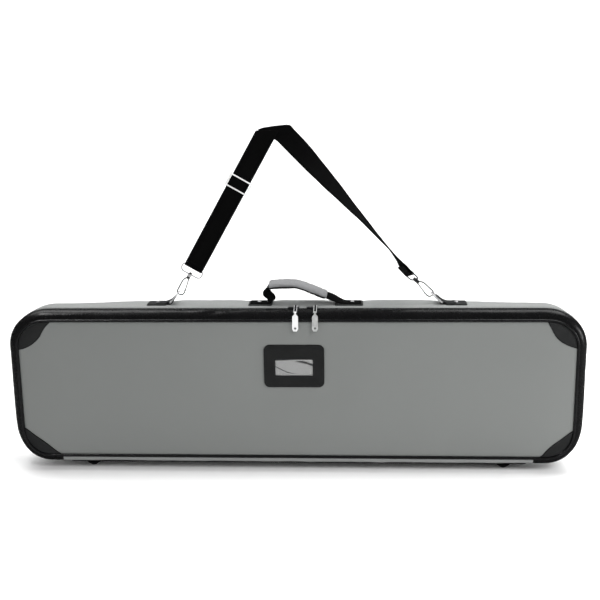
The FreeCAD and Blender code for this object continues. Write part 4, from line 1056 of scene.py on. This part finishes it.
def teeth(name, y_in, y_tip, body, node, phase):
    p3 = np.c_[Pz[:, 0] - Nz[:, 0] * 1.0, np.full(len(Pz), 0.0), Pz[:, 1] - Nz[:, 1] * 1.0]
    s = np.r_[0, np.cumsum(np.linalg.norm(np.diff(p3, axis=0), axis=1))]
    pitch = 3.0
    t = np.arange(2.0 + phase * pitch, s[-1] - 1.5, pitch)
    O = np.array([np.interp(t, s, p3[:, j]) for j in range(3)]).T
    T = np.array([np.interp(t + 0.5, s, p3[:, j]) - np.interp(t - 0.5, s, p3[:, j]) for j in range(3)]).T
    T /= np.linalg.norm(T, axis=1, keepdims=True)
    Nn_ = ring_normals(O)
    # template axes: T along, N outward, B = T x N (along +-y)
    Bt = np.cross(T, Nn_)
    sg = np.sign(Bt[:, 1].mean()) or 1.0
    ys = [y_in, y_in + (y_tip - y_in) * 0.45, y_in + (y_tip - y_in) * 0.72, y_tip]
    prof = [(0.85, 1.15), (0.80, 1.15), (1.12, 1.0), (0.75, 0.62)]
    tv, tf = [], []
    for yy, (a, b) in zip(ys, prof):
        for u, w_ in ((-a, -b * 0.7), (-a * 0.75, b * 0.75), (0, b), (a * 0.75, b * 0.75), (a, -b * 0.7), (0, -b)):
            tv.append((u, w_, yy * sg))
    K = 6
    for i in range(3):
        for j in range(K):
            tf.append((i * K + j, i * K + (j + 1) % K, (i + 1) * K + (j + 1) % K, (i + 1) * K + j))
    tf += [tuple(range(K)), tuple(range(3 * K, 4 * K))[::-1]]
    o = scatter(name, tv, tf, O, T, Nn_, "coil")
    settle(o)
    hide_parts(node)
    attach(o, body)
    return o


teeth("body_zip_teeth_v", -26.8, -30.5, "body", "body_zip_coil", 0.0)
teeth("lid_zip_teeth_v", -33.2, -29.5, "lid", "lid_zip_coil", 0.5)

# ------------------------------------------------------------------ corner patches
ARC = 64.5
PATCH = {
    "top_left": (-632, 330, 90, [(-613, 394.5), (-626, 381), (-635, 367), (-643, 354), (-663, 337), (-684, 327), (-696.5, 324)]),
    "top_right": (632, 330, 0, [(624, 394.5), (633, 378), (642, 362), (654, 349), (670, 339), (690, 331), (696.5, 329)]),
    "bottom_left": (-632, 115, 180, [(-607, 50.5), (-617, 58), (-631, 70), (-648, 84), (-668, 98), (-688, 113), (-696.5, 118)]),
    "bottom_right": (632, 115, 270, [(618, 50.5), (624, 55), (632, 66), (646, 80), (667, 96), (688, 112), (696.5, 117)]),
}
for nm, (cx, cz, a0, edge_pts) in PATCH.items():
    arcp = [(cx + ARC * math.cos(math.radians(a)), cz + ARC * math.sin(math.radians(a))) for a in np.linspace(a0, a0 + 90, 16)]
    e2, _ = catmull(np.c_[np.array(edge_pts, float), np.zeros(len(edge_pts))], 5.0)
    e2 = e2[:, :2]
    a1 = np.array(arcp)
    if np.linalg.norm(e2[-1] - a1[0]) > np.linalg.norm(e2[-1] - a1[-1]):
        a1 = a1[::-1]
    raw = np.vstack([e2, a1])
    keepm = np.r_[True, np.linalg.norm(np.diff(raw, axis=0), axis=1) > 0.8]
    raw = raw[keepm]
    if np.linalg.norm(raw[0] - raw[-1]) < 0.8:
        raw = raw[:-1]
    if area(raw) < 0:
        raw = raw[::-1]
    raw = refine(raw, 4.5)
    o = pad("corner_patch_%s_v" % nm, [raw], 6.0, 60.7, 62.3, 0.7, front, "leather", 0.5, 8.0,
            lambda p, dd_: 0.22 * wob(np.c_[p, np.zeros(len(p))], 30, 71) * (1 - np.exp(-dd_ / 6.0)) - 0.35 * np.exp(-((dd_ - 3.2) / 0.9) ** 2))
    drape(o)
    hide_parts("corner_patch_" + nm)
    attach(o, "lid")
    # a row of stitching follows the curved inner edge
    paths = []
    eo = e2 if area(np.vstack([e2, a1])) > 0 else e2[::-1]
    for off_ in (3.2,):
        t = tangents(np.c_[eo, np.zeros(len(eo))])[:, :2]
        nn_ = np.c_[-t[:, 1], t[:, 0]]
        q = eo + nn_ * off_
        q = q[2:-2]
        yy = -62.15 + np.minimum(panel_y(q[:, 0], q[:, 1]), 0.8)
        paths.append(np.c_[q[:, 0], yy, q[:, 1]])
    st = stitch("patch_stitches_%s_v" % nm, paths, (0, -1, 0), "thread_dark", 4.4, 3.1, 0.42)
    settle(st)
    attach(st, "lid")
    bq = eo + nn_ * 0.2
    bz = bq[:, 1] - 6.2 * np.clip((222 - bq[:, 1]) / 165.0, 0, 1)
    by = -61.9 + np.minimum(panel_y(bq[:, 0], bz), 0.8)
    bind = tube("patch_binding_%s_v" % nm, np.c_[bq[:, 0], by, bq[:, 1]], 1.0, "piping", False, 8)
    settle(bind)
    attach(bind, "lid")

# ------------------------------------------------------------------ tag holder
outer = rrect2(-75, 76, 227, 337, 14, 4.0)
hole = rrect2(-46.5, 47.5, 257.8, 299.2, 3.0, 4.0, 4)[::-1]


def tag_roll(z):
    """the upper rim rolls back towards the panel"""
    return 3.0 * np.clip((z - 325.0) / 12.0, 0, 1) ** 1.4


def tag_top(p, dd_):
    do = seg_dist(p, outer)
    dh = seg_dist(p, hole)
    g = -0.55 * np.exp(-((do - 4.6) / 0.9) ** 2) - 0.45 * np.exp(-((dh - 4.2) / 0.9) ** 2)
    return g + 0.18 * wob(np.c_[p, np.zeros(len(p))], 34, 81) + 0.7 * np.exp(-(dh / 5.5) ** 2) - tag_roll(p[:, 1])


tg = pad("tag_holder_v", [outer, hole], 5.0, 60.6, 65.0, 1.4, front, "tag", 0.5, 9.0, tag_top)
co = coords(tg) * 1000
back_side = co[:, 1] > -62.4
co[:, 1] += np.where(back_side, np.minimum(panel_y(co[:, 0], co[:, 2]), 0.5), np.minimum(panel_y(co[:, 0] * 0, co[:, 2] * 0 + 280), 0.2) * 0.8)
set_coords(tg, co / 1000)
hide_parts("tag_holder")
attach(tg, "lid")
fl = rrect2(-49, 50, 256, 305, 3, 4.0, 4)
film = pad("tag_window_v", [fl], 4.0, 64.15, 64.75, 0.25, front, "film", 0.0, 8.0,
           lambda p, dd_: 0.35 * wob(np.c_[p, np.zeros(len(p))], 26, 91, (1, 1, 1)) * (1 - np.exp(-dd_ / 8.0)))
co = coords(film) * 1000
front_side = co[:, 1]
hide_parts("tag_window")
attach(film, "lid")
tag_y = -65.15 + float(np.minimum(panel_y(np.array([0.0]), np.array([280.0])), 0.2)[0]) * 0.8
o1 = inset_loop(outer, 4.6)
h1_ = inset_loop(hole, -4.2)
st = stitch("tag_stitches_v", [np.c_[o1[:, 0], tag_y + 0.25 + tag_roll(o1[:, 1]), o1[:, 1]], np.c_[h1_[:, 0], np.full(len(h1_), tag_y - 0.1), h1_[:, 1]]], (0, -1, 0), "thread_dark", 4.0, 2.9, 0.4, closed=True)
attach(st, "lid")

# ------------------------------------------------------------------ base pad
bl = rrect2(-600, 600, -36, 60, 20, 8.0)
bp_ = pad("base_pad_v", [bl], 14.0, -21.9, -8.0, 5.5, flat_under, "leather", 0.0, 20.0,
          lambda p, dd_: 0.35 * wob(np.c_[p, np.zeros(len(p))], 80, 95) * (1 - np.exp(-dd_ / 12)) - 0.4 * np.exp(-((dd_ - 8) / 1.2) ** 2) - 0.35 - 5.6 * np.exp(-(dd_ / 9.0) ** 2))
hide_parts("base_pad")
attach(bp_, "body")
b1 = inset_loop(bl, 8.0)
st = stitch("base_stitches_v", [np.c_[b1, np.full(len(b1), 11.1)]], (0, 0, -1), "thread_dark", 5.0, 3.6, 0.42, closed=True)
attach(st, "body")

# ------------------------------------------------------------------ handle bases and strap anchors
def plate(name, x0, x1, y0, y1, zt, rr, node, body="body", pointed=None):
    lp = rrect2(x0, x1, y0, y1, rr, 3.5, 5)
    o = pad(name, [lp], 4.5, 420.6, zt, 1.0, flat_top, "leather", 0.35, 8.0,
            lambda p, dd_: 0.15 * wob(np.c_[p, np.zeros(len(p))], 24, 99) - 0.35 * np.exp(-((dd_ - 3.4) / 0.8) ** 2))
    if node:
        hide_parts(node)
    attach(o, body)
    li_ = inset_loop(lp, 3.4)
    s_ = stitch(name.replace("_v", "_stitches_v"), [np.c_[li_, np.full(len(li_), zt + 0.05)]], (0, 0, 1), "thread_dark", 3.8, 2.7, 0.36, closed=True)
    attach(s_, body)
    return o


plate("handle_base_left_v", -117, -57, -5, 45, 426.1, 5, "handle_base_left")
plate("handle_base_right_v", 102, 173, -5, 45, 426.1, 5, "handle_base_right")
WY = V3(0, 1, 0)


def anchor_v(name, x0, x1, xbar, node):
    a0, a1 = min(x0, x1), max(x0, x1)
    plate(name + "_plate_v", a0, a1, -2, 42, 426.3, 4, None)
    s = 1.0 if xbar > (x0 + x1) / 2 else -1.0
    xin = a1 if s > 0 else a0
    pts = [(xin - s * 26, 20, 427.6), (xin - s * 10, 20, 427.5), (xin - s * 3, 20, 428.2), (xbar - s * 4.0, 20, 431.6), (xbar + s * 1.5, 20, 434.8), (xbar + s * 8.5, 20, 441.4), (xbar + s * 12.0, 20, 444.4),
           (xbar + s * 13.6, 20, 444.4), (xbar + s * 14.0, 20, 442.6), (xbar + s * 11.2, 20, 438.4), (xbar + s * 5.6, 20, 430.6), (xbar + s * 3.4, 20, 426.4), (xbar, 20, 424.6), (xbar - s * 4, 20, 424.4), (xin - s * 2.0, 20, 424.4)]
    hw_ = [15, 15, 15, 14.4, 13.4, 11.4, 10.4, 10.2, 10.4, 11.4, 13.2, 14.2, 15, 15, 15]
    o = ribbon(name + "_loop_v", pts, WY, hw_, 1.9, "leather", 1.4, 9)
    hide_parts(node)
    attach(o, "body")
    e = []
    for yy in (8.5, 31.5):
        e.append(np.array([(xin - s * 25, yy, 428.75), (xin - s * 9, yy, 428.6)]))
    s_ = stitch(name + "_loop_stitches_v", e, (0, 0, 1), "thread_dark", 3.4, 2.5, 0.36)
    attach(s_, "body")


anchor_v("strap_anchor_left", -377, -327, -318, "strap_anchor_left")
anchor_v("strap_anchor_right", 434, 381, 371.5, "strap_anchor_right")

# ------------------------------------------------------------------ carry handle
def xz(pts, y=20.0):
    return [(x, y, z) for x, z in pts]


GRIP = [(-65.5, 471.5), (-50, 473.5), (-20, 474), (5, 472.5), (25, 466.5), (45, 459), (65, 451.6), (82, 445.7)]
left = [(-112, 427.3), (-100, 427.2), (-90, 427.3), (-66, 427.6), (-59.5, 429.0), (-57.4, 432.5), (-59, 438), (-63.5, 443.5), (-67.5, 447.5), (-71.5, 453), (-72.8, 459), (-71, 465), (-66.5, 469.0), (-60, 470.8), (-52, 472.3)]
right = [(168, 427.3), (146, 427.3), (130, 427.6), (122, 428.8), (112, 432.2), (102, 436.8), (92, 441.0), (83, 444.6), (74, 447.8), (66, 450.4)]
tws = [0, 0, 0, 4, 12, 20, 27, 30, 30, 28, 24, 18, 12, 8, 7]
sw = [V3(math.sin(math.radians(t)), math.cos(math.radians(t)), 0) if k < 9 else V3(math.sin(math.radians(t)) * 0.7, math.cos(math.radians(t)), math.sin(math.radians(t)) * 0.7) for k, t in enumerate(tws)]
wl = ribbon("handle_web_left_v", xz(left), sw, 19.0, 2.0, "webbing", 2.0, 9)
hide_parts("handle_root_left")
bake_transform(wl)
twr = [0, 0, 1, 4, 9, 13, 15, 14, 10, 8]
sw = [V3(math.sin(math.radians(t)) * 0.4, math.cos(math.radians(t)), math.sin(math.radians(t))) for t in twr]
wr = ribbon("handle_web_right_v", xz(right), sw, 19.0, 2.0, "webbing", 2.0, 9)
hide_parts("handle_root_right", "handle_webbing")
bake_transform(wr)

# grip sleeve: a stuffed fabric tube whose seam runs underneath
gp, gs = catmull(np.array(xz(GRIP)), 2.6)
tg_ = tangents(gp)
gn = np.cross(tg_, WY)
if gn[:, 2].mean() < 0:
    gn = -gn
K = 40
ROLL = (math.cos(math.radians(7)), math.sin(math.radians(7)))
v = []
for i in range(len(gp)):
    e = min(gs[i], gs[-1] - gs[i])
    endk = 0.62 + 0.38 * (1 - math.exp(-e / 4.0))
    for k in range(K):
        a = 2 * math.pi * k / K
        ca, sa = math.cos(a), math.sin(a)
        x = 24.0 * np.sign(ca) * abs(ca) ** 0.62 * (0.94 + 0.06 * endk)
        h = 7.6 * np.sign(sa) * abs(sa) ** 0.72 * (0.3 + 0.7 * endk)
        v.append(gp[i] + (WY * ROLL[0] + gn[i] * ROLL[1]) * x + (gn[i] * ROLL[0] - WY * ROLL[1]) * h)
f = []
m = len(gp)
for i in range(m - 1):
    for k in range(K):
        f.append((i * K + k, i * K + (k + 1) % K, (i + 1) * K + (k + 1) % K, (i + 1) * K + k))
f += [tuple(range(K)), tuple(range((m - 1) * K, m * K))[::-1]]
grip = obj("handle_grip_v", v, f, "grip")
rest = coords(grip)
pin = np.zeros(len(rest), bool)
pin[:2 * K] = True
pin[-2 * K:] = True
sim = cloth(grip, pin, 16, 5.0, 14.0, -0.03, 0.6)
if np.isfinite(sim).all() and len(sim) == len(rest):
    set_coords(grip, limit(rest, sim, 0.0016))
co = coords(grip) * 1000
nr = normals(grip)
rg = wob(co, 17, 101, (0.8, 2.4, 1.0)) * 0.45 + wob(co, 9, 102, (0.8, 2.0, 1)) * 0.2
set_coords(grip, (co + nr * rg[:, None]) / 1000)
grip.data.materials.append(M["leather"])
gz = np.interp(co[:, 0], gp[:, 0], gp[:, 2])
for p in grip.data.polygons:
    c = p.center * 1000
    if c.z < np.interp(c.x, gp[:, 0], gp[:, 2]) - 2.2:
        p.material_index = 1
subdivide(grip, 1)
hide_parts("handle_grip")
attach(grip, "handle")
sl = [gp[3:-3] + (WY * ROLL[0] + gn[3:-3] * ROLL[1]) * xx + (gn[3:-3] * ROLL[0] - WY * ROLL[1]) * -4.6 for xx in (-23.2, 23.2)]
st = stitch("grip_stitches_v", sl, lambda O: np.tile(V3(0, -1, -0.4), (len(O), 1)) * np.sign(20.0 - O[:, 1:2]), "thread_dark", 4.0, 2.8, 0.4)
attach(st, "handle")

# ------------------------------------------------------------------ shoulder strap
def frm(O, W, Y, U):
    O, W, Y, U = V3(*O), V3(*W), V3(*Y), V3(*U)
    return lambda a, b, s: O + a * W + b * Y + s * U


LW, LU = (0.8686, 0, -0.4955), (0.4955, 0, 0.8686)
L = frm((-295.8, 20, 448.0), LW, (0, 1, 0), LU)
EY = 79.0
HALF = 25.0
# left leg, cut on the slant where it folds behind
s_ = np.r_[np.arange(84.5, 470, 4.0)]
path = [L(0, -2.5, s) for s in s_] + [L(0, -2.5, 474.75)]


def skew_top(vv):
    O = V3(-295.8, 20, 448.0)
    r_ = vv - O
    a = r_ @ V3(*LW)
    s = r_ @ V3(*LU)
    t = np.clip((s - 440) / 34.75, 0, 1)
    add = t * a * (15.25 / 25.0)
    roll = np.clip((s - 462) / 12.0, 0, 1) ** 2 * 0.9
    return vv + add[:, None] * V3(*LU) + roll[:, None] * V3(0, 1, 0)


leg = ribbon("strap_leg_left_v", path, LW, HALF, 2.0, "webbing", 4.0, 13, wav=0.25, skew=skew_top, seed=3)
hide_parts("strap_leg_left")
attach(leg, "strap")
fold = np.array([(-86, 861.5), (-72, 866.4), (-45, 870.2), (-13, 873.2), (-4, 871), (2.4, 864.4), (-16, 847.6), (-35.2, 831.4), (-58, 845)], float)
if area(fold) < 0:
    fold = fold[::-1]
fo = pad("strap_fold_v", [refine(round_corners(fold, 3.0), 3.0)], 5.0, -21.2, -18.6, 1.1, front, "webbing", 0.3, 6.0)
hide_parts("strap_fold")
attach(fo, "strap")
# return layer with the bend round the eye bar, stretching with the adjuster
path = [L(0, -2.5, 88.5), L(0, -2.5, 84), L(0, -2.7, EY + 1.5)]
for k in range(1, 10):
    t = math.pi + math.pi * k / 10.0
    path.append(L(0, 3.1 * math.cos(t), EY + 3.1 * math.sin(t)))
path += [L(0, 2.7, EY + 1.5), L(0, 2.5, 88)] + [L(0, 2.5, s) for s in np.arange(100, 300, 12)] + [L(0, 2.6, 312), L(0, 2.9, 318)]
for k in range(1, 7):
    t = math.pi - math.pi * k / 8.0
    path.append(L(0, 5.8 + 3.0 * math.cos(t), 323 + 3.0 * math.sin(t)))
ret = ribbon("strap_return_left_v", path, LW, HALF - 0.6, 1.8, "webbing", 2.5, 11, wav=0.15, seed=5)
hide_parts("strap_return_left")
a_, b_ = L(0, 2.5, 90) / 1000, L(0, 2.5, 318) / 1000
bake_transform(ret)

# right leg: twists edge-on half way down, ends in a sewn loop round the eye bar
st_ = [((-16.0, 847.0), 0.0), ((22.0, 806.5), 19.0), ((59.0, 765.0), 37.0), ((98.0, 722.0), 52.0), ((133.0, 683.0), 66.0), ((176.5, 634.5), 79.0), ((219.5, 584.5), 88.5)]
OR_ = V3(347.5, 20, 444.5)
RW, RY, RU = V3(-.2665, .9205, -.2858), V3(-.6278, -.3907, -.6733), V3(-.7314, 0, .6820)
Rl = lambda a, b, s: OR_ + a * RW + b * RY + s * RU
pp, ss_ = [], []
for k, ((x, z), tw) in enumerate(st_):
    a = st_[max(k - 1, 0)][0]
    c = st_[min(k + 1, len(st_) - 1)][0] if k < len(st_) - 1 else (254.2, 531.5)
    dv = V3(c[0] - a[0], 0, c[1] - a[1])
    dv /= np.linalg.norm(dv)
    sv = V3(-dv[2], 0, dv[0])
    pp.append(V3(x, 20, z))
    ss_.append(sv * math.cos(math.radians(tw)) + WY * math.sin(math.radians(tw)))
pp[0] = pp[0] + V3(-9, 0, 9)
RE = V3(-.0697, .9947, -.0747)
pp.append(Rl(0, -8.4, 131.0)); ss_.append((RE * 1.6 + RW) / 2.6)
pp.append(Rl(0, -5.9, 118.0)); ss_.append((RE + RW * 2) / 3)
for s in (106, 96, 88):
    pp.append(Rl(0, -2.4 - 0.09 * (s - 88), s)); ss_.append(RW)
pp.append(Rl(0, -2.8, EY + 1.5)); ss_.append(RW)
for k in range(1, 8):
    t = math.pi + math.pi * k / 8.0
    pp.append(Rl(0, 3.1 * math.cos(t), EY + 3.1 * math.sin(t))); ss_.append(RW)
pp.append(Rl(0, 2.8, EY + 1.5)); ss_.append(RW)
for s in (88, 96, 103, 109):
    pp.append(Rl(1.2, 2.3 - 0.09 * (s - 88), s)); ss_.append(RW)
# webbing sides and loop
sgnw = 1.0 if np.dot(ss_[6], RW) > 0 else -1.0
ss_ = [q_ if k < 7 else q_ * sgnw for k, q_ in enumerate(ss_)]
rl_ = ribbon("strap_leg_right_v", np.array(pp), np.array(ss_), HALF, 2.0, "webbing", 2.6, 13, wav=0.3, seed=7,
             cup=lambda q: 1.9 * np.exp(-((q - 402.0) / 42.0) ** 2))
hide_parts("strap_leg_right", "strap_end_right")
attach(rl_, "strap")


def boxst(F, s0, s1, b, b1, w=19.0):
    c = [F(-w, b, s0), F(w, b, s0), F(w, b1, s1), F(-w, b1, s1), F(-w, b, s0)]
    d1 = [F(-w, b, s0), F(w, b1, s1)]
    d2 = [F(w, b, s0), F(-w, b1, s1)]
    return [np.array(c), np.array(d1), np.array(d2)]


st = stitch("strap_box_stitch_right_v", boxst(Rl, 93, 107, -3.9, -5.15) , tuple(-RY), "thread_dark", 3.4, 2.5, 0.4)
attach(st, "strap")
st = stitch("strap_box_stitch_right_back_v", boxst(Rl, 93, 106, 2.9, 1.72), tuple(RY), "thread_dark", 3.4, 2.5, 0.4)
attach(st, "strap")
# edge lines woven along the strap
ed = []
for sgn_ in (-1, 1):
    ed.append(np.array([L(sgn_ * 22.0, -3.46, s) for s in np.arange(92, 452, 6.0)]))
st = stitch("strap_edge_stitch_left_v", ed, (0, -1, 0), "thread_black", 4.2, 3.0, 0.22)
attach(st, "strap")

# ------------------------------------------------------------------ materials on the CAD parts that stay
HARD = {"back_stiffener_board": "board", "base_feet": "rubber", "foot_rivets": "nickel", "handle_rivets": "chrome", "anchor_rivets": "chrome",
        "slider_left": "dark_metal", "slider_right": "dark_metal", "pull_link_left": "chrome", "pull_link_right": "nickel",
        "pull_tab_left": "tab_bright", "pull_tab_right": "nickel", "ring_left": "chrome", "ring_right": "chrome",
        "hook_left": "hook", "hook_right": "hook", "gate_left": "hook", "gate_right": "hook",
        "hook_eye_left": "chrome", "hook_eye_right": "dark_metal", "strap_adjuster": "tab_bright", "tag_card": "card"}
for node, o in frame["nodes"].items():
    if node in HARD:
        o.data.materials.clear()
        o.data.materials.append(M[HARD[node]])
        for p in o.data.polygons:
            p.material_index = 0

# ------------------------------------------------------------------ stage, light, camera
fm = bpy.data.materials.new("stage_floor")
fm.use_nodes = True
fb = fm.node_tree.nodes["Principled BSDF"]
fb.inputs["Base Color"].default_value = (0.93, 0.93, 0.93, 1)
fb.inputs["Roughness"].default_value = 0.9
fb.inputs["Specular IOR Level"].default_value = 0.05
flp = fm.node_tree.nodes.new("ShaderNodeLightPath")
fmx = fm.node_tree.nodes.new("ShaderNodeMix")
fmx.data_type = "RGBA"
fmx.inputs[6].default_value = (0.93, 0.93, 0.93, 1)
fmx.inputs[7].default_value = (0.16, 0.16, 0.16, 1)
fm.node_tree.links.new(flp.outputs["Is Glossy Ray"], fmx.inputs[0])
fm.node_tree.links.new(fmx.outputs[2], fb.inputs["Base Color"])
me = bpy.data.meshes.new("stage_floor")
prof = [(-4.0, 0.0), (1.8, 0.0)] + [(1.8 + 1.2 * math.sin(a), 1.2 - 1.2 * math.cos(a)) for a in np.linspace(0.15, math.pi / 2, 10)] + [(3.0, 5.0)]
vv = [(x, y_, z_) for y_, z_ in prof for x in (-6.0, 6.0)]
me.from_pydata(vv, [], [(2 * i, 2 * i + 1, 2 * i + 3, 2 * i + 2) for i in range(len(prof) - 1)])
me.polygons.foreach_set("use_smooth", [True] * len(me.polygons))
floor = bpy.data.objects.new("stage_floor", me)
scene.collection.objects.link(floor)
me.materials.append(fm)

world = bpy.data.worlds.new("studio")
scene.world = world
world.use_nodes = True
nt = world.node_tree
bg = nt.nodes["Background"]
bg.inputs["Color"].default_value = (1, 1, 1, 1)
lp_ = nt.nodes.new("ShaderNodeLightPath")
mr_ = nt.nodes.new("ShaderNodeMapRange")
mr_.inputs[3].default_value, mr_.inputs[4].default_value = 0.40, 0.10
nt.links.new(lp_.outputs["Is Glossy Ray"], mr_.inputs[0])
cm_ = nt.nodes.new("ShaderNodeMix")
cm_.data_type = "FLOAT"
cm_.inputs[3].default_value = 1.0
nt.links.new(lp_.outputs["Is Camera Ray"], cm_.inputs[0])
nt.links.new(mr_.outputs[0], cm_.inputs[2])
nt.links.new(cm_.outputs[0], bg.inputs["Strength"])


def lamp(name, loc, target, size, power, size_y=None):
    l = bpy.data.lights.new(name, "AREA")
    l.energy = power
    l.shape = "RECTANGLE"
    l.size = size
    l.size_y = size_y or size
    o = bpy.data.objects.new(name, l)
    o.location = loc
    o.rotation_euler = (Vector(target) - Vector(loc)).to_track_quat("-Z", "Y").to_euler()
    scene.collection.objects.link(o)
    return o


lamp("key", (1.9, -1.9, 2.2), (0.3, 0.0, 0.25), 1.4, 57.0, 1.2).visible_glossy = False
lamp("top", (0.0, 0.15, 2.5), (0.0, 0.05, 0.3), 2.8, 44.0, 0.8).visible_glossy = False
hl = lamp("rim_glint", (-1.5, -0.6, 2.4), (-0.35, -0.05, 0.4), 0.5, 9.0, 0.16)
hl.visible_diffuse = False
hl2 = lamp("panel_glint", (2.1, -0.55, 0.55), (0.72, -0.06, 0.22), 0.3, 5.0, 0.6)
lamp("fill", (-2.2, -2.4, 1.2), (0.0, 0.0, 0.25), 1.4, 2.5).visible_glossy = False
lamp("low", (0.0, -2.2, 0.10), (0.0, 0.0, 0.03), 2.6, 9.0, 0.15).visible_glossy = False
lamp("top_right", (1.3, 0.3, 1.9), (0.55, 0.05, 0.42), 0.7, 8.0, 0.4).visible_glossy = False
lamp("backdrop_left", (-1.8, 1.2, 3.4), (-1.2, 2.8, 1.2), 2.5, 70.0)
lamp("backdrop_right", (1.8, 1.2, 3.4), (1.2, 2.8, 1.2), 2.5, 70.0)
scene.view_settings.view_transform = "Standard"
scene.view_settings.look = "None"

cam = bpy.data.cameras.new("camera")
cam.lens = 58.585
cam.sensor_width = 36.0
cam.sensor_fit = "HORIZONTAL"
cam.clip_end = 50
cam.shift_y = -0.0019
co_ = bpy.data.objects.new("camera", cam)
right_ = Vector((0.998606, 0.051082, -0.013302))
down_ = Vector((-0.001496, -0.224515, -0.974470))
fwd_ = Vector((-0.052764, 0.973131, -0.224125))
up_ = -down_
bk_ = -fwd_
co_.matrix_world = Matrix(((right_.x, up_.x, bk_.x, 0.14426), (right_.y, up_.y, bk_.y, -2.39783), (right_.z, up_.z, bk_.z, 0.99222), (0, 0, 0, 1)))
scene.collection.objects.link(co_)
scene.camera = co_

bpy.context.view_layer.update()
